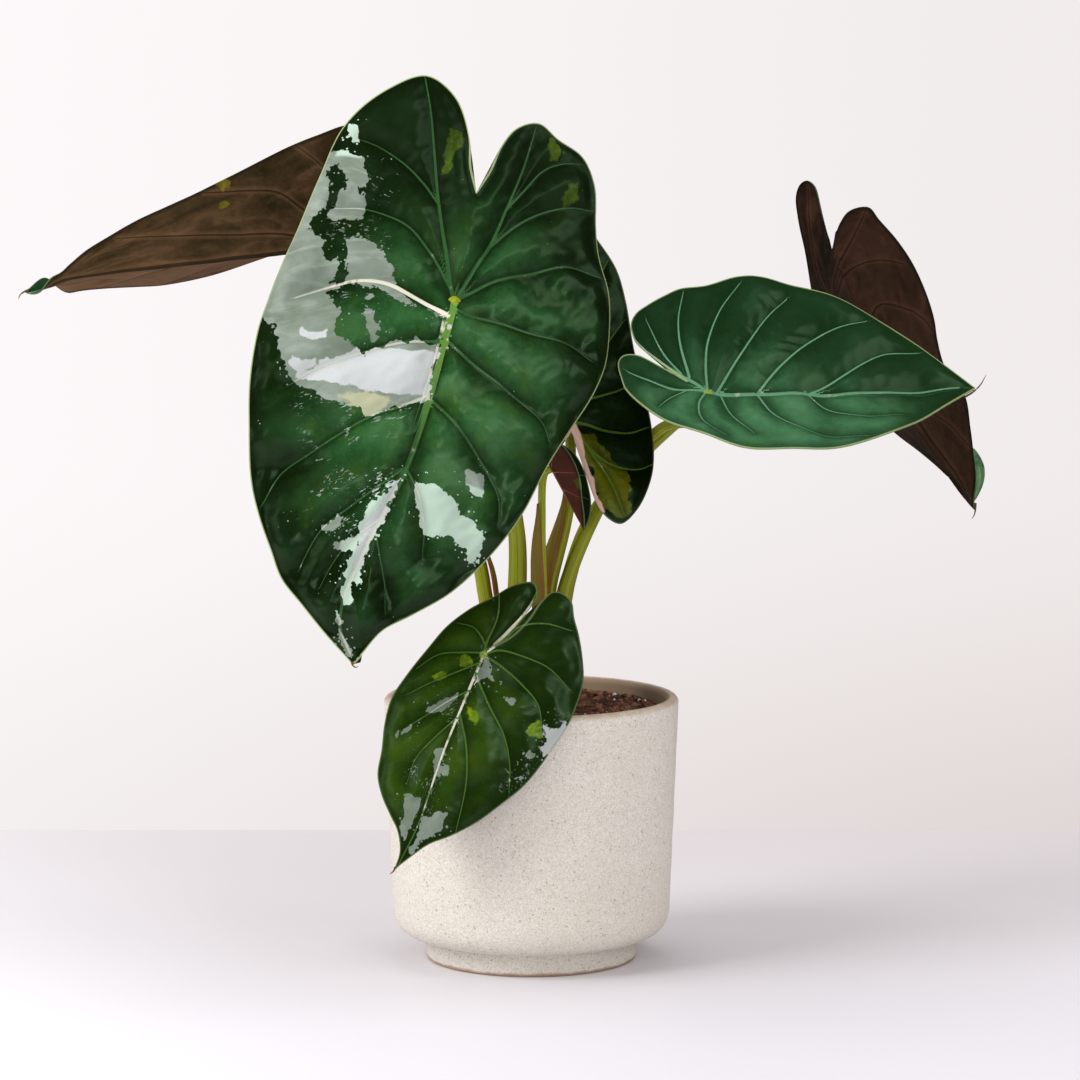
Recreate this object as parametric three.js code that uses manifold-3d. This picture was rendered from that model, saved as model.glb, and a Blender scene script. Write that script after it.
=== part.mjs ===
// Potted variegated aroid house plant: seven heart shaped leaves on long stalks in a stoneware pot.
// Millimetres, +Z up. The origin is the middle of the pot's foot on the table, and -Y is the front.
import * as THREE from 'three';
import { mergeVertices } from 'three/addons/utils/BufferGeometryUtils.js';
import Module from 'manifold-3d';

const wasm = await Module();
wasm.setup();
const { Manifold, Mesh: SolidMesh } = wasm;

// Driving dimensions of the pot
const rimRadius = 70;
const potHeight = 126;
const wallThickness = 6;
const lowRadius = 66;
const cornerRadius = 13;
const footHeight = 11;
const footTopRadius = 52;
const footRadius = 50;
const floorHeight = 17;
const footChamfer = 1.2;
const insideCorner = 11;
const potSides = 44;

// Driving dimensions of the soil
const fitGap = 0.3;
const soilEdgeDrop = 7;
const soilMound = 8;
const soilSides = 36;
const soilRoughness = 0.9;
const soilWallGap = 1.2;

// Driving dimensions of the leaves and stalks
const bladeThickness = 0.8;
const waveLength = 44;
const waveReach = 50;
const stalkSides = 10;
const stalkSteps = 20;
const stalkFoot = 104;
const sheathThickness = 0.8;
const sheathRows = 12;
const sheathColumns = 6;

const radians = THREE.MathUtils.degToRad;
const vector = (x, y, z) => new THREE.Vector3(x, y, z);
const smooth = (x) => THREE.MathUtils.smoothstep(x, 0, 1);
const mix = THREE.MathUtils.lerp;

const paint = (color, roughness) => new THREE.MeshStandardMaterial({ color, roughness, metalness: 0 });
const materials = {
  stoneware: paint(0xcdc7ba, 0.62),
  soil: paint(0x3c2319, 0.95),
  leafGreen: paint(0x2c6440, 0.38),
  leafPurple: paint(0x3f2a26, 0.45),
  stalkGreen: paint(0x7c852c, 0.45),
  sheathBrown: paint(0xa56c3f, 0.6),
};

const object = new THREE.Group();

function add(name, geometry, material) {
  const mesh = new THREE.Mesh(geometry, material);
  mesh.name = name;
  object.add(mesh);
  return mesh;
}

// Each leaf is drawn flat first, in its own plane. "a" runs along the midrib from the stalk's seat
// toward the tip, and "c" runs across it, to the right as seen from the seat with the upper face on
// top. Its margin is given as two lists of [a, c] points in millimetres, one for each half, both
// running from the sinus between the basal lobes, around the lobe, to the tip.
// Then the flat leaf is bent: "fold" raises each half from the midrib, "opens" changes that by so
// many degrees in 100 mm, "curl" bends each half on across, "droop" bends the midrib down, "twist"
// turns the tip over from "twistFrom" on, and "wave" ruffles the margin.
const leaves = {
  main: {
    seat: [-35, -45, 316], heading: -112, slope: -56, roll: -30, spin: 0,
    length: 178, bow: 15, hook: -16, lobeBow: 30,
    fold: [-10, -10], curl: [-10, -10], droop: 14, lobeDroop: -14, twist: 0, twistFrom: 0, wave: 1.2,
    sinus: [-56, 3], tip: [178, 2], sweep: 2.4, rows: 28, columns: 5,
    right: [[-68, 9], [-82, 13], [-99, 24], [-106, 40], [-96, 56], [-75, 72], [-48, 77], [-20, 81],
      [10, 85], [40, 86], [70, 81], [93, 75], [112, 68], [125, 61], [138, 52], [149, 44], [158, 32],
      [168, 18]],
    left: [[-69, -1], [-82, -3], [-93, -8], [-99, -18], [-95, -29], [-91, -43], [-80, -52], [-62, -58],
      [-47, -64], [-30, -73], [-8, -79], [16, -77], [39, -70], [62, -63], [85, -58], [102, -52],
      [120, -43], [135, -33], [149, -19], [160, -7], [172, -1]],
    stalk: { foot: [-8, -5], path: [[-8, -5, 150], [-7, -4, 205], [-20, -7, 262]], base: 5.4, top: 3,
      approach: 20 },
  },
  leftBack: {
    seat: [-94, 40, 337], heading: 180, slope: -6, roll: 50, spin: 0,
    length: 150, bow: -9, hook: 6, lobeBow: 0,
    fold: [35, 58], opens: [0, -32], curl: [0, 0], droop: 6, lobeDroop: 0, twist: 130, twistFrom: 128,
    wave: 0.4, sinus: [-26, 0], tip: [150, -3], sweep: 2.2, rows: 32, columns: 4,
    right: [[-34, 4], [-46, 10], [-54, 24], [-46, 40], [-28, 50], [-4, 53], [20, 49], [45, 42], [64, 36],
      [83, 28], [98, 18], [112, 11], [126, 7], [136, 6.5], [142, 2]],
    left: [[-34, -4], [-48, -10], [-58, -26], [-50, -44], [-32, -56], [-12, -58], [3, -54], [26, -47],
      [45, -40], [60, -35], [75, -31], [90, -27], [106, -21.5], [118, -17], [126, -12.5], [132, -9],
      [139, -9], [145, -6]],
    stalk: { foot: [-7, 8], path: [[-17, 9, 140], [-22, 10, 172], [-26, 10, 192], [-60, 18, 270]],
      base: 3.8, top: 2.6, approach: 24 },
  },
  rightFront: {
    seat: [82, -30, 273], heading: 0, slope: 0, roll: 36, spin: 6,
    length: 125, bow: -22, hook: 0, lobeBow: 0,
    fold: [16, 16], curl: [0, 0], droop: 4, lobeDroop: 0, twist: 0, twistFrom: 0, wave: 0.8,
    sinus: [-10, -5], tip: [124, -22], sweep: 3, rows: 22, columns: 4,
    right: [[-24, -13], [-35, -18], [-41, -17], [-43, -13], [-41, -5], [-33, 13], [-17, 34], [3, 47],
      [22, 56], [40, 57], [59, 51], [77, 40], [96, 20], [112, -4]],
    left: [[-24, -15.5], [-35, -24], [-38, -30], [-39, -35], [-37, -41], [-32, -46], [-25, -52],
      [-17, -58], [-5, -61], [8, -65], [23, -67], [36, -65], [47, -62], [70, -54], [93, -41],
      [111, -30]],
    stalk: { foot: [12, 1], path: [[12, 2, 145], [16, 6, 176], [33, 15, 215], [48, 19, 238],
      [62, 14, 252]], base: 4, top: 2.6, approach: 15 },
  },
  rightBack: {
    seat: [164, 70, 291], heading: 10, slope: -53, roll: -55, spin: -12,
    length: 104, bow: 14, hook: 0, lobeBow: 30,
    fold: [35, 12], curl: [0, 0], droop: 0, lobeDroop: 0, twist: -70, twistFrom: 78, wave: 0.8,
    sinus: [-40, -9], tip: [100, 17], sweep: 2.4, rows: 22, columns: 4,
    right: [[-49, 2], [-60, 12], [-64, 19], [-62, 28], [-54, 30], [-39, 34], [-24, 36], [2, 34], [14, 31],
      [28, 29], [45, 32], [62, 28], [79, 23], [92, 20]],
    left: [[-46, -8], [-58, -1], [-70, 2], [-79, 2], [-82, -3], [-80, -10], [-74, -16], [-64, -19],
      [-48, -22], [-27, -29], [-5, -36], [18, -36], [38, -26], [54, -16], [66, -3], [80, 8], [92, 13]],
    stalk: { foot: [12, 12], path: [[14, 15, 150], [18, 19, 180], [33, 26, 215], [95, 38, 270]],
      base: 4, top: 2.4, approach: 22 },
  },
  centerBack: {
    seat: [19, 4, 257], heading: 92, slope: 72, roll: 0, spin: 2,
    length: 112, bow: 0, hook: 0, lobeBow: 0,
    fold: [-5, -5], curl: [-10, -10], droop: 5, lobeDroop: 0, twist: 0, twistFrom: 0, wave: 0.5,
    sinus: [-6, 0], tip: [112, -3], sweep: 3, rows: 20, columns: 4,
    right: [[-13, 4], [-29, 9], [-40, 13], [-47, 19], [-49, 25], [-41, 33], [-26, 39], [-14, 40],
      [2, 38], [18, 34], [38, 29], [60, 25], [76, 20], [94, 8]],
    left: [[-12, -4], [-19, -10], [-21, -20], [-14, -31], [0, -38], [18, -40], [38, -37], [58, -31],
      [78, -22], [96, -12]],
    stalk: { foot: [4, 5], path: [[6, 7, 150], [9, 10, 176], [18, 15, 215]], base: 4, top: 2.5,
      approach: 13 },
  },
  youngest: {
    seat: [10, -16, 236], heading: -30, slope: -58, roll: 0, spin: 0,
    length: 33, bow: 0, hook: 0, lobeBow: 0,
    fold: [30, 72], curl: [0, 0], droop: 0, lobeDroop: 0, twist: 0, twistFrom: 0, wave: 0.1,
    sinus: [-5, 0], tip: [33, 0], sweep: 2.4, rows: 16, columns: 3,
    right: [[-8, 4], [-10, 9], [-4, 14], [5, 15], [13, 13], [21, 8], [28, 4]],
    left: [[-8, -4], [-10, -9], [-4, -14], [5, -15], [14, -13], [22, -10], [29, -5]],
    stalk: { foot: [1, -4], path: [[4, -5, 150], [5.5, -7, 176], [5, -12, 208]], base: 3.1, top: 1.8,
      approach: 5 },
  },
  lowerFront: {
    seat: [-22, -68, 155], heading: -120, slope: -68, roll: -22, spin: 14,
    length: 108, bow: -6, hook: 2, lobeBow: 0,
    fold: [-8, -8], curl: [-8, -8], droop: 10, lobeDroop: -5, twist: 0, twistFrom: 0, wave: 0.7,
    sinus: [-4, -2], tip: [107, -3], sweep: 3.2, rows: 26, columns: 4,
    right: [[-13, -6], [-28, -10.5], [-36, -11], [-40, -7], [-35, 1], [-26, 8], [-18, 15], [-6, 22],
      [7, 26], [22, 30], [35, 32], [47, 30], [59, 26], [70, 23], [78, 17], [85, 9], [90, 3], [98, -2]],
    left: [[-13, -8.5], [-24, -12.5], [-33, -14], [-40, -17], [-41, -22], [-39, -27], [-33, -31],
      [-27, -36], [-18, -42], [-8, -47], [4, -49], [15, -49], [26, -47], [37, -45], [48, -42],
      [60, -36], [72, -29], [82, -21], [90, -13], [98, -8]],
    stalk: { foot: [-2, -14], path: [[-3, -18, 128], [-12, -42, 150]], base: 3.6, top: 2.3,
      approach: 10 },
  },
};

// The three directions of a leaf at its seat: along the midrib, across the blade and up from it.
function leafFrame(leaf) {
  const [heading, slope, roll, spin] = [leaf.heading, leaf.slope, leaf.roll, leaf.spin].map(radians);
  const flat = Math.cos(slope);
  const along = vector(Math.cos(heading) * flat, Math.sin(heading) * flat, Math.sin(slope));
  const up = vector(-Math.cos(heading) * Math.sin(slope), -Math.sin(heading) * Math.sin(slope), flat);
  const across = along.clone().cross(up);
  const normal = up.clone().multiplyScalar(Math.cos(roll)).addScaledVector(across, Math.sin(roll));
  const side = across.clone().multiplyScalar(Math.cos(roll)).addScaledVector(up, -Math.sin(roll));
  return {
    seat: vector(...leaf.seat),
    normal,
    along: along.clone().multiplyScalar(Math.cos(spin)).addScaledVector(side, Math.sin(spin)),
    across: side.clone().multiplyScalar(Math.cos(spin)).addScaledVector(along, -Math.sin(spin)),
  };
}

// How far the midrib strays to the side, "a" millimetres from the seat.
function midribOffset(leaf, a) {
  const part = a / leaf.length;
  if (a < 0) return leaf.lobeBow * part * part;
  return leaf.bow * part * part + leaf.hook * smooth((part - 0.8) / 0.2);
}

// A point of the leaf's upper face in space, from its place in the flat leaf.
function leafPoint(leaf, frame, a, c) {
  const offset = midribOffset(leaf, a);
  const half = c > offset ? 1 : 0;
  const reach = Math.abs(c - offset);
  const { opens = [0, 0] } = leaf;
  const fold = radians(leaf.fold[half] + opens[half] * Math.max(0, a) / 100);
  const curl = radians(leaf.curl[half]) / 100 || 1e-6;
  let y = (half ? 1 : -1) * (Math.sin(fold + curl * reach) - Math.sin(fold)) / curl;
  let height = (Math.cos(fold) - Math.cos(fold + curl * reach)) / curl;
  height += leaf.wave * (reach / waveReach) ** 2 * Math.sin(2 * Math.PI * a / waveLength + 2 * half);
  const turn = radians(leaf.twist) * smooth((a - leaf.twistFrom) / (leaf.length - leaf.twistFrom));
  [y, height] = [y * Math.cos(turn) - height * Math.sin(turn),
    y * Math.sin(turn) + height * Math.cos(turn)];
  const bend = -radians(a > 0 ? leaf.droop : leaf.lobeDroop) / 100 || 1e-6;
  const x = Math.sin(bend * a) / bend - height * Math.sin(bend * a);
  const z = (1 - Math.cos(bend * a)) / bend + height * Math.cos(bend * a);
  return frame.seat.clone().addScaledVector(frame.along, x)
    .addScaledVector(frame.across, offset + y).addScaledVector(frame.normal, z);
}

// A closed plate from a grid of points: both faces are split alike, and a rim joins them.
// "point(i, j)" gives a point of the upper face and "under(i, j)" the one below it.
function plate(rows, columns, point, under) {
  const corners = [];
  const faces = [];
  const width = columns + 1;
  for (const face of [point, under]) {
    for (let i = 0; i <= rows; i += 1) {
      for (let j = 0; j <= columns; j += 1) corners.push(...face(i, j).toArray());
    }
  }
  const count = (rows + 1) * width;
  const quad = (a, b, c, d) => faces.push(a, b, c, a, c, d);
  for (let i = 0; i < rows; i += 1) {
    for (let j = 0; j < columns; j += 1) {
      const a = i * width + j;
      quad(a, a + 1, a + width + 1, a + width);
      quad(count + a, count + a + width, count + a + width + 1, count + a + 1);
    }
  }
  for (let i = 0; i < rows; i += 1) {
    const left = i * width;
    const right = left + columns;
    quad(left, left + width, count + left + width, count + left);
    quad(right, count + right, count + right + width, right + width);
  }
  for (let j = 0; j < columns; j += 1) {
    const last = rows * width + j;
    quad(j, count + j, count + j + 1, j + 1);
    quad(last, last + 1, count + last + 1, count + last);
  }
  const geometry = new THREE.BufferGeometry();
  geometry.setAttribute('position', new THREE.Float32BufferAttribute(corners, 3));
  geometry.setIndex(faces);
  return geometry;
}

// The blade of one leaf. Each row of its grid runs from the left margin to the midrib and on to the
// right margin, and slants toward the tip as the side veins do.
function blade(leaf) {
  const frame = leafFrame(leaf);
  const step = 0.1;
  const margin = (list) => {
    const points = [leaf.sinus, ...list, leaf.tip].map(([a, c]) => vector(a, c, 0));
    return new THREE.CatmullRomCurve3(points, false, 'centripetal');
  };
  const left = margin(leaf.left);
  const right = margin(leaf.right);
  const sinusOffset = leaf.sinus[1] - midribOffset(leaf, leaf.sinus[0]);
  const place = (i, j) => {
    const t = i / leaf.rows;
    const across = j / leaf.columns - 1;
    const a = mix(leaf.sinus[0], leaf.tip[0], t ** leaf.sweep);
    const lead = sinusOffset * Math.max(0, 1 - 4 * t);
    const spine = i === leaf.rows ? vector(...leaf.tip, 0) : vector(a, midribOffset(leaf, a) + lead, 0);
    return spine.lerp((across < 0 ? left : right).getPointAt(t), Math.abs(across));
  };
  const point = (i, j) => {
    const { x: a, y: c } = place(i, j);
    return leafPoint(leaf, frame, a, c);
  };
  const under = (i, j) => {
    const { x: a, y: c } = place(i, j);
    const along = leafPoint(leaf, frame, a + step, c).sub(leafPoint(leaf, frame, a - step, c));
    const across = leafPoint(leaf, frame, a, c + step).sub(leafPoint(leaf, frame, a, c - step));
    const normal = across.cross(along).normalize();
    return leafPoint(leaf, frame, a, c).addScaledVector(normal, -bladeThickness);
  };
  return plate(leaf.rows, 2 * leaf.columns, point, under);
}

// The middle line of a leaf's stalk, from its foot in the soil to just under the blade.
function stalkPath(leaf) {
  const frame = leafFrame(leaf);
  const spread = Math.min(...leaf.fold, 0);
  const seatGap = bladeThickness + fitGap + leaf.stalk.top * Math.sin(radians(-spread));
  const points = [
    vector(...leaf.stalk.foot, stalkFoot),
    ...leaf.stalk.path.map((p) => vector(...p)),
    frame.seat.clone().addScaledVector(frame.normal, -leaf.stalk.approach),
    frame.seat.clone().addScaledVector(frame.normal, -seatGap),
  ];
  return new THREE.CatmullRomCurve3(points, false, 'centripetal');
}

const stalkRadius = (leaf, part) => mix(leaf.stalk.base, leaf.stalk.top, smooth(part * 1.3));

// A round stalk that tapers along its path. "extra" widens and lengthens it, for the hole in the
// soil that it stands in.
function stalk(leaf, extra = 0) {
  const path = stalkPath(leaf);
  const { normal } = leafFrame(leaf);
  const tube = new THREE.CylinderGeometry(1, 1, 1, stalkSides, stalkSteps);
  const places = tube.attributes.position;
  const point = vector(0, 0, 0);
  for (let i = 0; i < places.count; i += 1) {
    point.fromBufferAttribute(places, i);
    const part = point.y + 0.5;
    const atFoot = part < 0.001;
    let forward = path.getTangentAt(part);
    if (part > 0.999) forward = normal.clone();
    if (atFoot) forward = vector(0, 0, 1);
    const side = vector(0, 1, 0).cross(forward).normalize();
    const back = forward.cross(side);
    const radius = stalkRadius(leaf, part) + extra;
    const place = path.getPointAt(part);
    place.addScaledVector(side, point.x * radius).addScaledVector(back, -point.z * radius);
    if (atFoot) place.z -= extra;
    places.setXYZ(i, place.x, place.y, place.z);
  }
  return tube;
}

// A papery brown sheath: a thin pointed blade curved around the lower part of a stalk. It hugs the
// stalk at both ends and stands off it between them. "facing" is the side that it is on, in degrees.
const sheaths = {
  leftBack: { from: 0.16, to: 0.42, facing: 5, span: 50, flare: 2 },
  youngest: { from: 0.36, to: 0.86, facing: 230, span: 50, flare: 2.6 },
  centerBack: { from: 0.3, to: 0.74, facing: 222, span: 50, flare: 3 },
};

function sheath(leaf, piece) {
  const path = stalkPath(leaf);
  const surface = (i, j, depth) => {
    const t = i / sheathRows;
    const part = mix(piece.from, piece.to, t);
    const hug = stalkRadius(leaf, part) + 2 * fitGap + sheathThickness / 2;
    const radius = hug + piece.flare * Math.sin(Math.PI * t) ** 2;
    const spread = Math.sqrt(1 - 0.99 * t ** 2.5);
    const turn = radians(piece.facing + piece.span * spread * (j / sheathColumns * 2 - 1));
    const out = vector(Math.cos(turn), Math.sin(turn), 0);
    return path.getPointAt(part).addScaledVector(out, radius + depth);
  };
  const outer = (i, j) => surface(i, j, sheathThickness / 2);
  const inner = (i, j) => surface(i, j, -sheathThickness / 2);
  return plate(sheathRows, sheathColumns, outer, inner);
}

// The stoneware pot: a thick wall with a rounded lip, and a lower corner that turns in to a foot.
function pot() {
  const outline = new THREE.Path();
  const lip = wallThickness / 2;
  const cornerHeight = footHeight + cornerRadius;
  const inside = lowRadius - wallThickness;
  outline.moveTo(0, 0);
  outline.lineTo(footRadius - footChamfer, 0);
  outline.lineTo(footRadius, footChamfer);
  outline.lineTo(footTopRadius, footHeight);
  outline.lineTo(lowRadius - cornerRadius, footHeight + 0.4);
  outline.quadraticCurveTo(lowRadius - 1, footHeight + 1, lowRadius, cornerHeight);
  outline.lineTo(rimRadius, potHeight - lip);
  outline.absarc(rimRadius - lip, potHeight - lip, lip, 0, Math.PI);
  outline.lineTo(inside, floorHeight + insideCorner);
  outline.quadraticCurveTo(inside - 1, floorHeight, inside - insideCorner - 3, floorHeight);
  outline.lineTo(0, floorHeight);
  return new THREE.LatheGeometry(outline.getPoints(5), potSides).rotateX(Math.PI / 2);
}

// A seeded random number between 0 and 1, for the crumbs of the soil.
function randomNumbers(seed) {
  let state = seed;
  return () => {
    state = (state * 16807) % 2147483647;
    return state / 2147483647;
  };
}

// The soil: it fills the pot to just inside its wall and rises in a low, crumbly mound.
function soil() {
  const random = randomNumbers(41);
  const taper = (rimRadius - lowRadius) / (potHeight - floorHeight);
  const wallInside = (z) => lowRadius - wallThickness - soilWallGap + taper * (z - floorHeight);
  const edgeHeight = potHeight - soilEdgeDrop;
  const bottom = floorHeight + fitGap;
  const bottomRadius = lowRadius - wallThickness - insideCorner - 6;
  const profile = [
    [0, bottom],
    [bottomRadius, bottom],
    [bottomRadius + 10, bottom + 5],
    [wallInside(bottom + 17), bottom + 17],
    [wallInside(edgeHeight), edgeHeight],
  ];
  const rings = 8;
  for (let i = rings - 1; i >= 0; i -= 1) {
    const radius = wallInside(edgeHeight) * i / rings;
    profile.push([radius, edgeHeight + soilMound * (1 - smooth(i / rings))]);
  }
  const points = profile.map(([x, y]) => new THREE.Vector2(x, y));
  const body = new THREE.LatheGeometry(points, soilSides).rotateX(Math.PI / 2);
  const places = body.attributes.position;
  const lifts = new Map();
  for (let i = 0; i < places.count; i += 1) {
    const [x, y, z] = [places.getX(i), places.getY(i), places.getZ(i)];
    const key = `${Math.round(x * 10)} ${Math.round(y * 10)}`;
    if (z < edgeHeight + 0.1) continue;
    if (!lifts.has(key)) lifts.set(key, (random() - 0.5) * 2 * soilRoughness);
    places.setZ(i, z + lifts.get(key));
  }
  return body;
}

// Boolean cuts: a geometry becomes a solid, and a solid becomes a geometry again.
function solid(geometry) {
  const plain = geometry.clone();
  plain.deleteAttribute('normal');
  plain.deleteAttribute('uv');
  const merged = tidy(plain);
  return Manifold.ofMesh(new SolidMesh({
    numProp: 3,
    vertProperties: new Float32Array(merged.attributes.position.array),
    triVerts: new Uint32Array(merged.index.array),
  }));
}

function shape(body) {
  const mesh = body.getMesh();
  const geometry = new THREE.BufferGeometry();
  geometry.setAttribute('position', new THREE.BufferAttribute(mesh.vertProperties, 3));
  geometry.setIndex(new THREE.BufferAttribute(mesh.triVerts, 1));
  return geometry;
}

// Joins points that coincide and drops the faces that close up with them.
function tidy(geometry) {
  const merged = mergeVertices(geometry, 1e-3);
  const corners = merged.index.array;
  const kept = [];
  for (let i = 0; i < corners.length; i += 3) {
    const [a, b, c] = corners.slice(i, i + 3);
    if (a !== b && b !== c && c !== a) kept.push(a, b, c);
  }
  merged.setIndex(kept);
  return merged;
}

const holes = Object.values(leaves).map((leaf) => solid(stalk(leaf, fitGap)));

add('pot', pot(), materials.stoneware);
add('soil', shape(solid(soil()).subtract(Manifold.union(holes))), materials.soil);
for (const [name, leaf] of Object.entries(leaves)) {
  const purple = name === 'leftBack' || name === 'rightBack';
  add(`blade_${name}`, tidy(blade(leaf)), purple ? materials.leafPurple : materials.leafGreen);
  add(`stalk_${name}`, stalk(leaf), materials.stalkGreen);
}
for (const [name, piece] of Object.entries(sheaths)) {
  add(`sheath_${name}`, tidy(sheath(leaves[name], piece)), materials.sheathBrown);
}

export default object;
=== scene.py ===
# %% [markdown]
# A potted house plant with variegated, heart shaped leaves.
#
# The CAD frame already holds a plain solid for the pot, the soil, and every blade, stalk and sheath.
# This lesson dresses them: each solid is replaced by a finer mesh of the same form, and each mesh
# gets a procedural material. Blender works in metres here, and sizes are written in millimetres.

import math
import random

import bmesh
import bpy
import numpy as np
from mathutils import Matrix, Vector


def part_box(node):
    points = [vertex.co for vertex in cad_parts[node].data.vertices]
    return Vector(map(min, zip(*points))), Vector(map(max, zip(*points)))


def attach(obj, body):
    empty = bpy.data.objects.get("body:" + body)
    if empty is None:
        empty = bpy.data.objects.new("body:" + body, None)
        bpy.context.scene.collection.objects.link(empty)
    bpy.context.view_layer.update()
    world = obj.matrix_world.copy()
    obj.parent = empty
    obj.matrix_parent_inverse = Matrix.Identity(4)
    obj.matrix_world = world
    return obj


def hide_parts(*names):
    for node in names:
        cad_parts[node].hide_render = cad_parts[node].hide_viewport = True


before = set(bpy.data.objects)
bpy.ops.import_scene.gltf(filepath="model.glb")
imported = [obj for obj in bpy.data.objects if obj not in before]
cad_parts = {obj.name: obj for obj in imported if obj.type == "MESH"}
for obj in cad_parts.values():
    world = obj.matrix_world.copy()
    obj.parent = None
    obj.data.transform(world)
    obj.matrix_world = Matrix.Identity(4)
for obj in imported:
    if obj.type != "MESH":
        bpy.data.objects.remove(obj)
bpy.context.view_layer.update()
mm = 0.001

# %% [markdown]
# The camera stands two metres in front of the pot and a little above its leaves, and looks slightly
# down. A long lens keeps the pot's sides nearly upright, as in the photograph.

# %% Camera
camera_side = 4.1
camera_distance = 2000
camera_height = 428
camera_tilt = 6.5
lens_length = 141.6
scene = bpy.context.scene
camera_data = bpy.data.cameras.new("camera")
camera_data.sensor_width = 36
camera_data.lens = lens_length
camera = bpy.data.objects.new("camera", camera_data)
camera.location = Vector((camera_side, -camera_distance, camera_height)) * mm
camera.rotation_euler = (math.radians(90 - camera_tilt), 0, 0)
scene.collection.objects.link(camera)
scene.camera = camera
scene.view_settings.view_transform = "Standard"
print("camera at", tuple(round(x, 3) for x in camera.location))

# %% [markdown]
# Shader maths is easier to read as sums than as a list of nodes and wires. `Link` wraps one output
# socket, and adding or multiplying two of them adds a Math node to the tree.

# %% Sums with sockets
class Link:
    def __init__(self, paint, socket):
        self.paint = paint
        self.socket = socket

    def math(self, operation, *values):
        return self.paint.node("ShaderNodeMath", {"operation": operation}, dict(enumerate(values)))

    def __add__(self, other):
        return self.math("ADD", self, other)

    def __sub__(self, other):
        return self.math("SUBTRACT", self, other)

    def __rsub__(self, other):
        return self.math("SUBTRACT", other, self)

    def __mul__(self, other):
        return self.math("MULTIPLY", self, other)

    def __truediv__(self, other):
        return self.math("DIVIDE", self, other)

    __radd__ = __add__
    __rmul__ = __mul__

    def highest(self, other):
        return self.math("MAXIMUM", self, other)

    def below(self, limit):
        return self.math("LESS_THAN", self, limit)

    def unsigned(self):
        return self.math("ABSOLUTE", self)

    def step(self, low, high):
        """0 below low, 1 above high and a smooth rise between them."""
        settings = {"interpolation_type": "SMOOTHSTEP"}
        return self.paint.node("ShaderNodeMapRange", settings, {"Value": self, 1: low, 2: high})


print("besides + - * and /, a socket has:", [name for name in vars(Link) if not name.startswith("_")])

# %% [markdown]
# `Paint` adds nodes to one node tree. Its `node` method makes any kind, with its settings first and
# its inputs after. `coat` lays tones over a colour one after another, each through a mask, which is
# how most finishes here are built. Tones are read from a photograph, so they are sRGB numbers.

# %% Nodes and materials
class Paint:
    def __init__(self, tree):
        self.tree = tree

    def feed(self, socket, value):
        if isinstance(value, Link):
            self.tree.links.new(value.socket, socket)
        else:
            socket.default_value = value

    def node(self, kind, settings=None, inputs=None, output=0):
        made = self.tree.nodes.new(kind)
        for key, value in (settings or {}).items():
            setattr(made, key, value)
        for key, value in (inputs or {}).items():
            self.feed(made.inputs[key], value)
        return Link(self, made.outputs[output])

    def set(self, name, value):
        self.feed(self.shader.inputs[name], value)

    def attribute(self, name, output="Fac"):
        return self.node("ShaderNodeAttribute", {"attribute_name": name}, output=output)

    def place(self):
        return self.node("ShaderNodeTexCoord", output="Object")

    def axis(self, vector, index):
        return self.node("ShaderNodeSeparateXYZ", None, {0: vector}, index)

    def scaled(self, vector, factors):
        return self.node("ShaderNodeVectorMath", {"operation": "MULTIPLY"}, {0: vector, 1: factors})

    def length(self, vector):
        return self.node("ShaderNodeVectorMath", {"operation": "LENGTH"}, {0: vector}, "Value")

    def noise(self, vector, scale, detail=3.0, roughness=0.55, distortion=0.0):
        inputs = {"Vector": vector, "Scale": scale, "Detail": detail, "Roughness": roughness,
                  "Distortion": distortion}
        return self.node("ShaderNodeTexNoise", None, inputs)

    def cells(self, vector, scale):
        return self.node("ShaderNodeTexVoronoi", None, {"Vector": vector, "Scale": scale})

    def mix(self, factor, first, second):
        """Two colours, each a socket or the three numbers of a tone, mixed by a factor."""
        first, second = (x if isinstance(x, Link) else tone(*x) for x in (first, second))
        inputs = {"Factor": factor, 6: first, 7: second}
        return self.node("ShaderNodeMix", {"data_type": "RGBA"}, inputs, 2)

    def coat(self, color, *layers):
        """A colour with tones laid over it in turn, each as far as its mask goes."""
        for mask, shade in layers:
            color = self.mix(mask, color, shade)
        return color

    def finish(self, color, roughness, height, depth, strength):
        """Sets colour and roughness, and bumps the surface by a height that is so many mm deep."""
        self.set("Base Color", color)
        self.set("Roughness", roughness)
        bump = {"Height": height, "Distance": depth * mm, "Strength": strength}
        self.set("Normal", self.node("ShaderNodeBump", None, bump))
        return self


def new_paint(name):
    material = bpy.data.materials.new(name)
    material.use_nodes = True
    paint = Paint(material.node_tree)
    paint.material = material
    paint.shader = paint.tree.nodes["Principled BSDF"]
    return paint


def tone(red, green, blue):
    """A colour of 0-255 sRGB numbers, as the linear colour that sockets take."""
    channels = [x / 255 for x in (red, green, blue)]
    return [x / 12.92 if x < 0.04045 else ((x + 0.055) / 1.055) ** 2.4 for x in channels] + [1]


print("a grey of 128 is", round(tone(128, 128, 128)[0], 3), "in linear light")

# %% [markdown]
# A finished mesh becomes a piece in one way for all: its material is set, it rides on the only body
# and it replaces its CAD node. Before that, a mesh is closed: points that meet are welded, open
# ends are filled and all faces are turned outward.

# %% From mesh to piece
def closed(bm, sides=0):
    bmesh.ops.remove_doubles(bm, verts=bm.verts, dist=1e-6)
    bmesh.ops.holes_fill(bm, edges=[edge for edge in bm.edges if edge.is_boundary], sides=sides)
    bmesh.ops.recalc_face_normals(bm, faces=bm.faces)
    return bm


def new_verts(made):
    return [item for item in made["geom"] if isinstance(item, bmesh.types.BMVert)]


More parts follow.
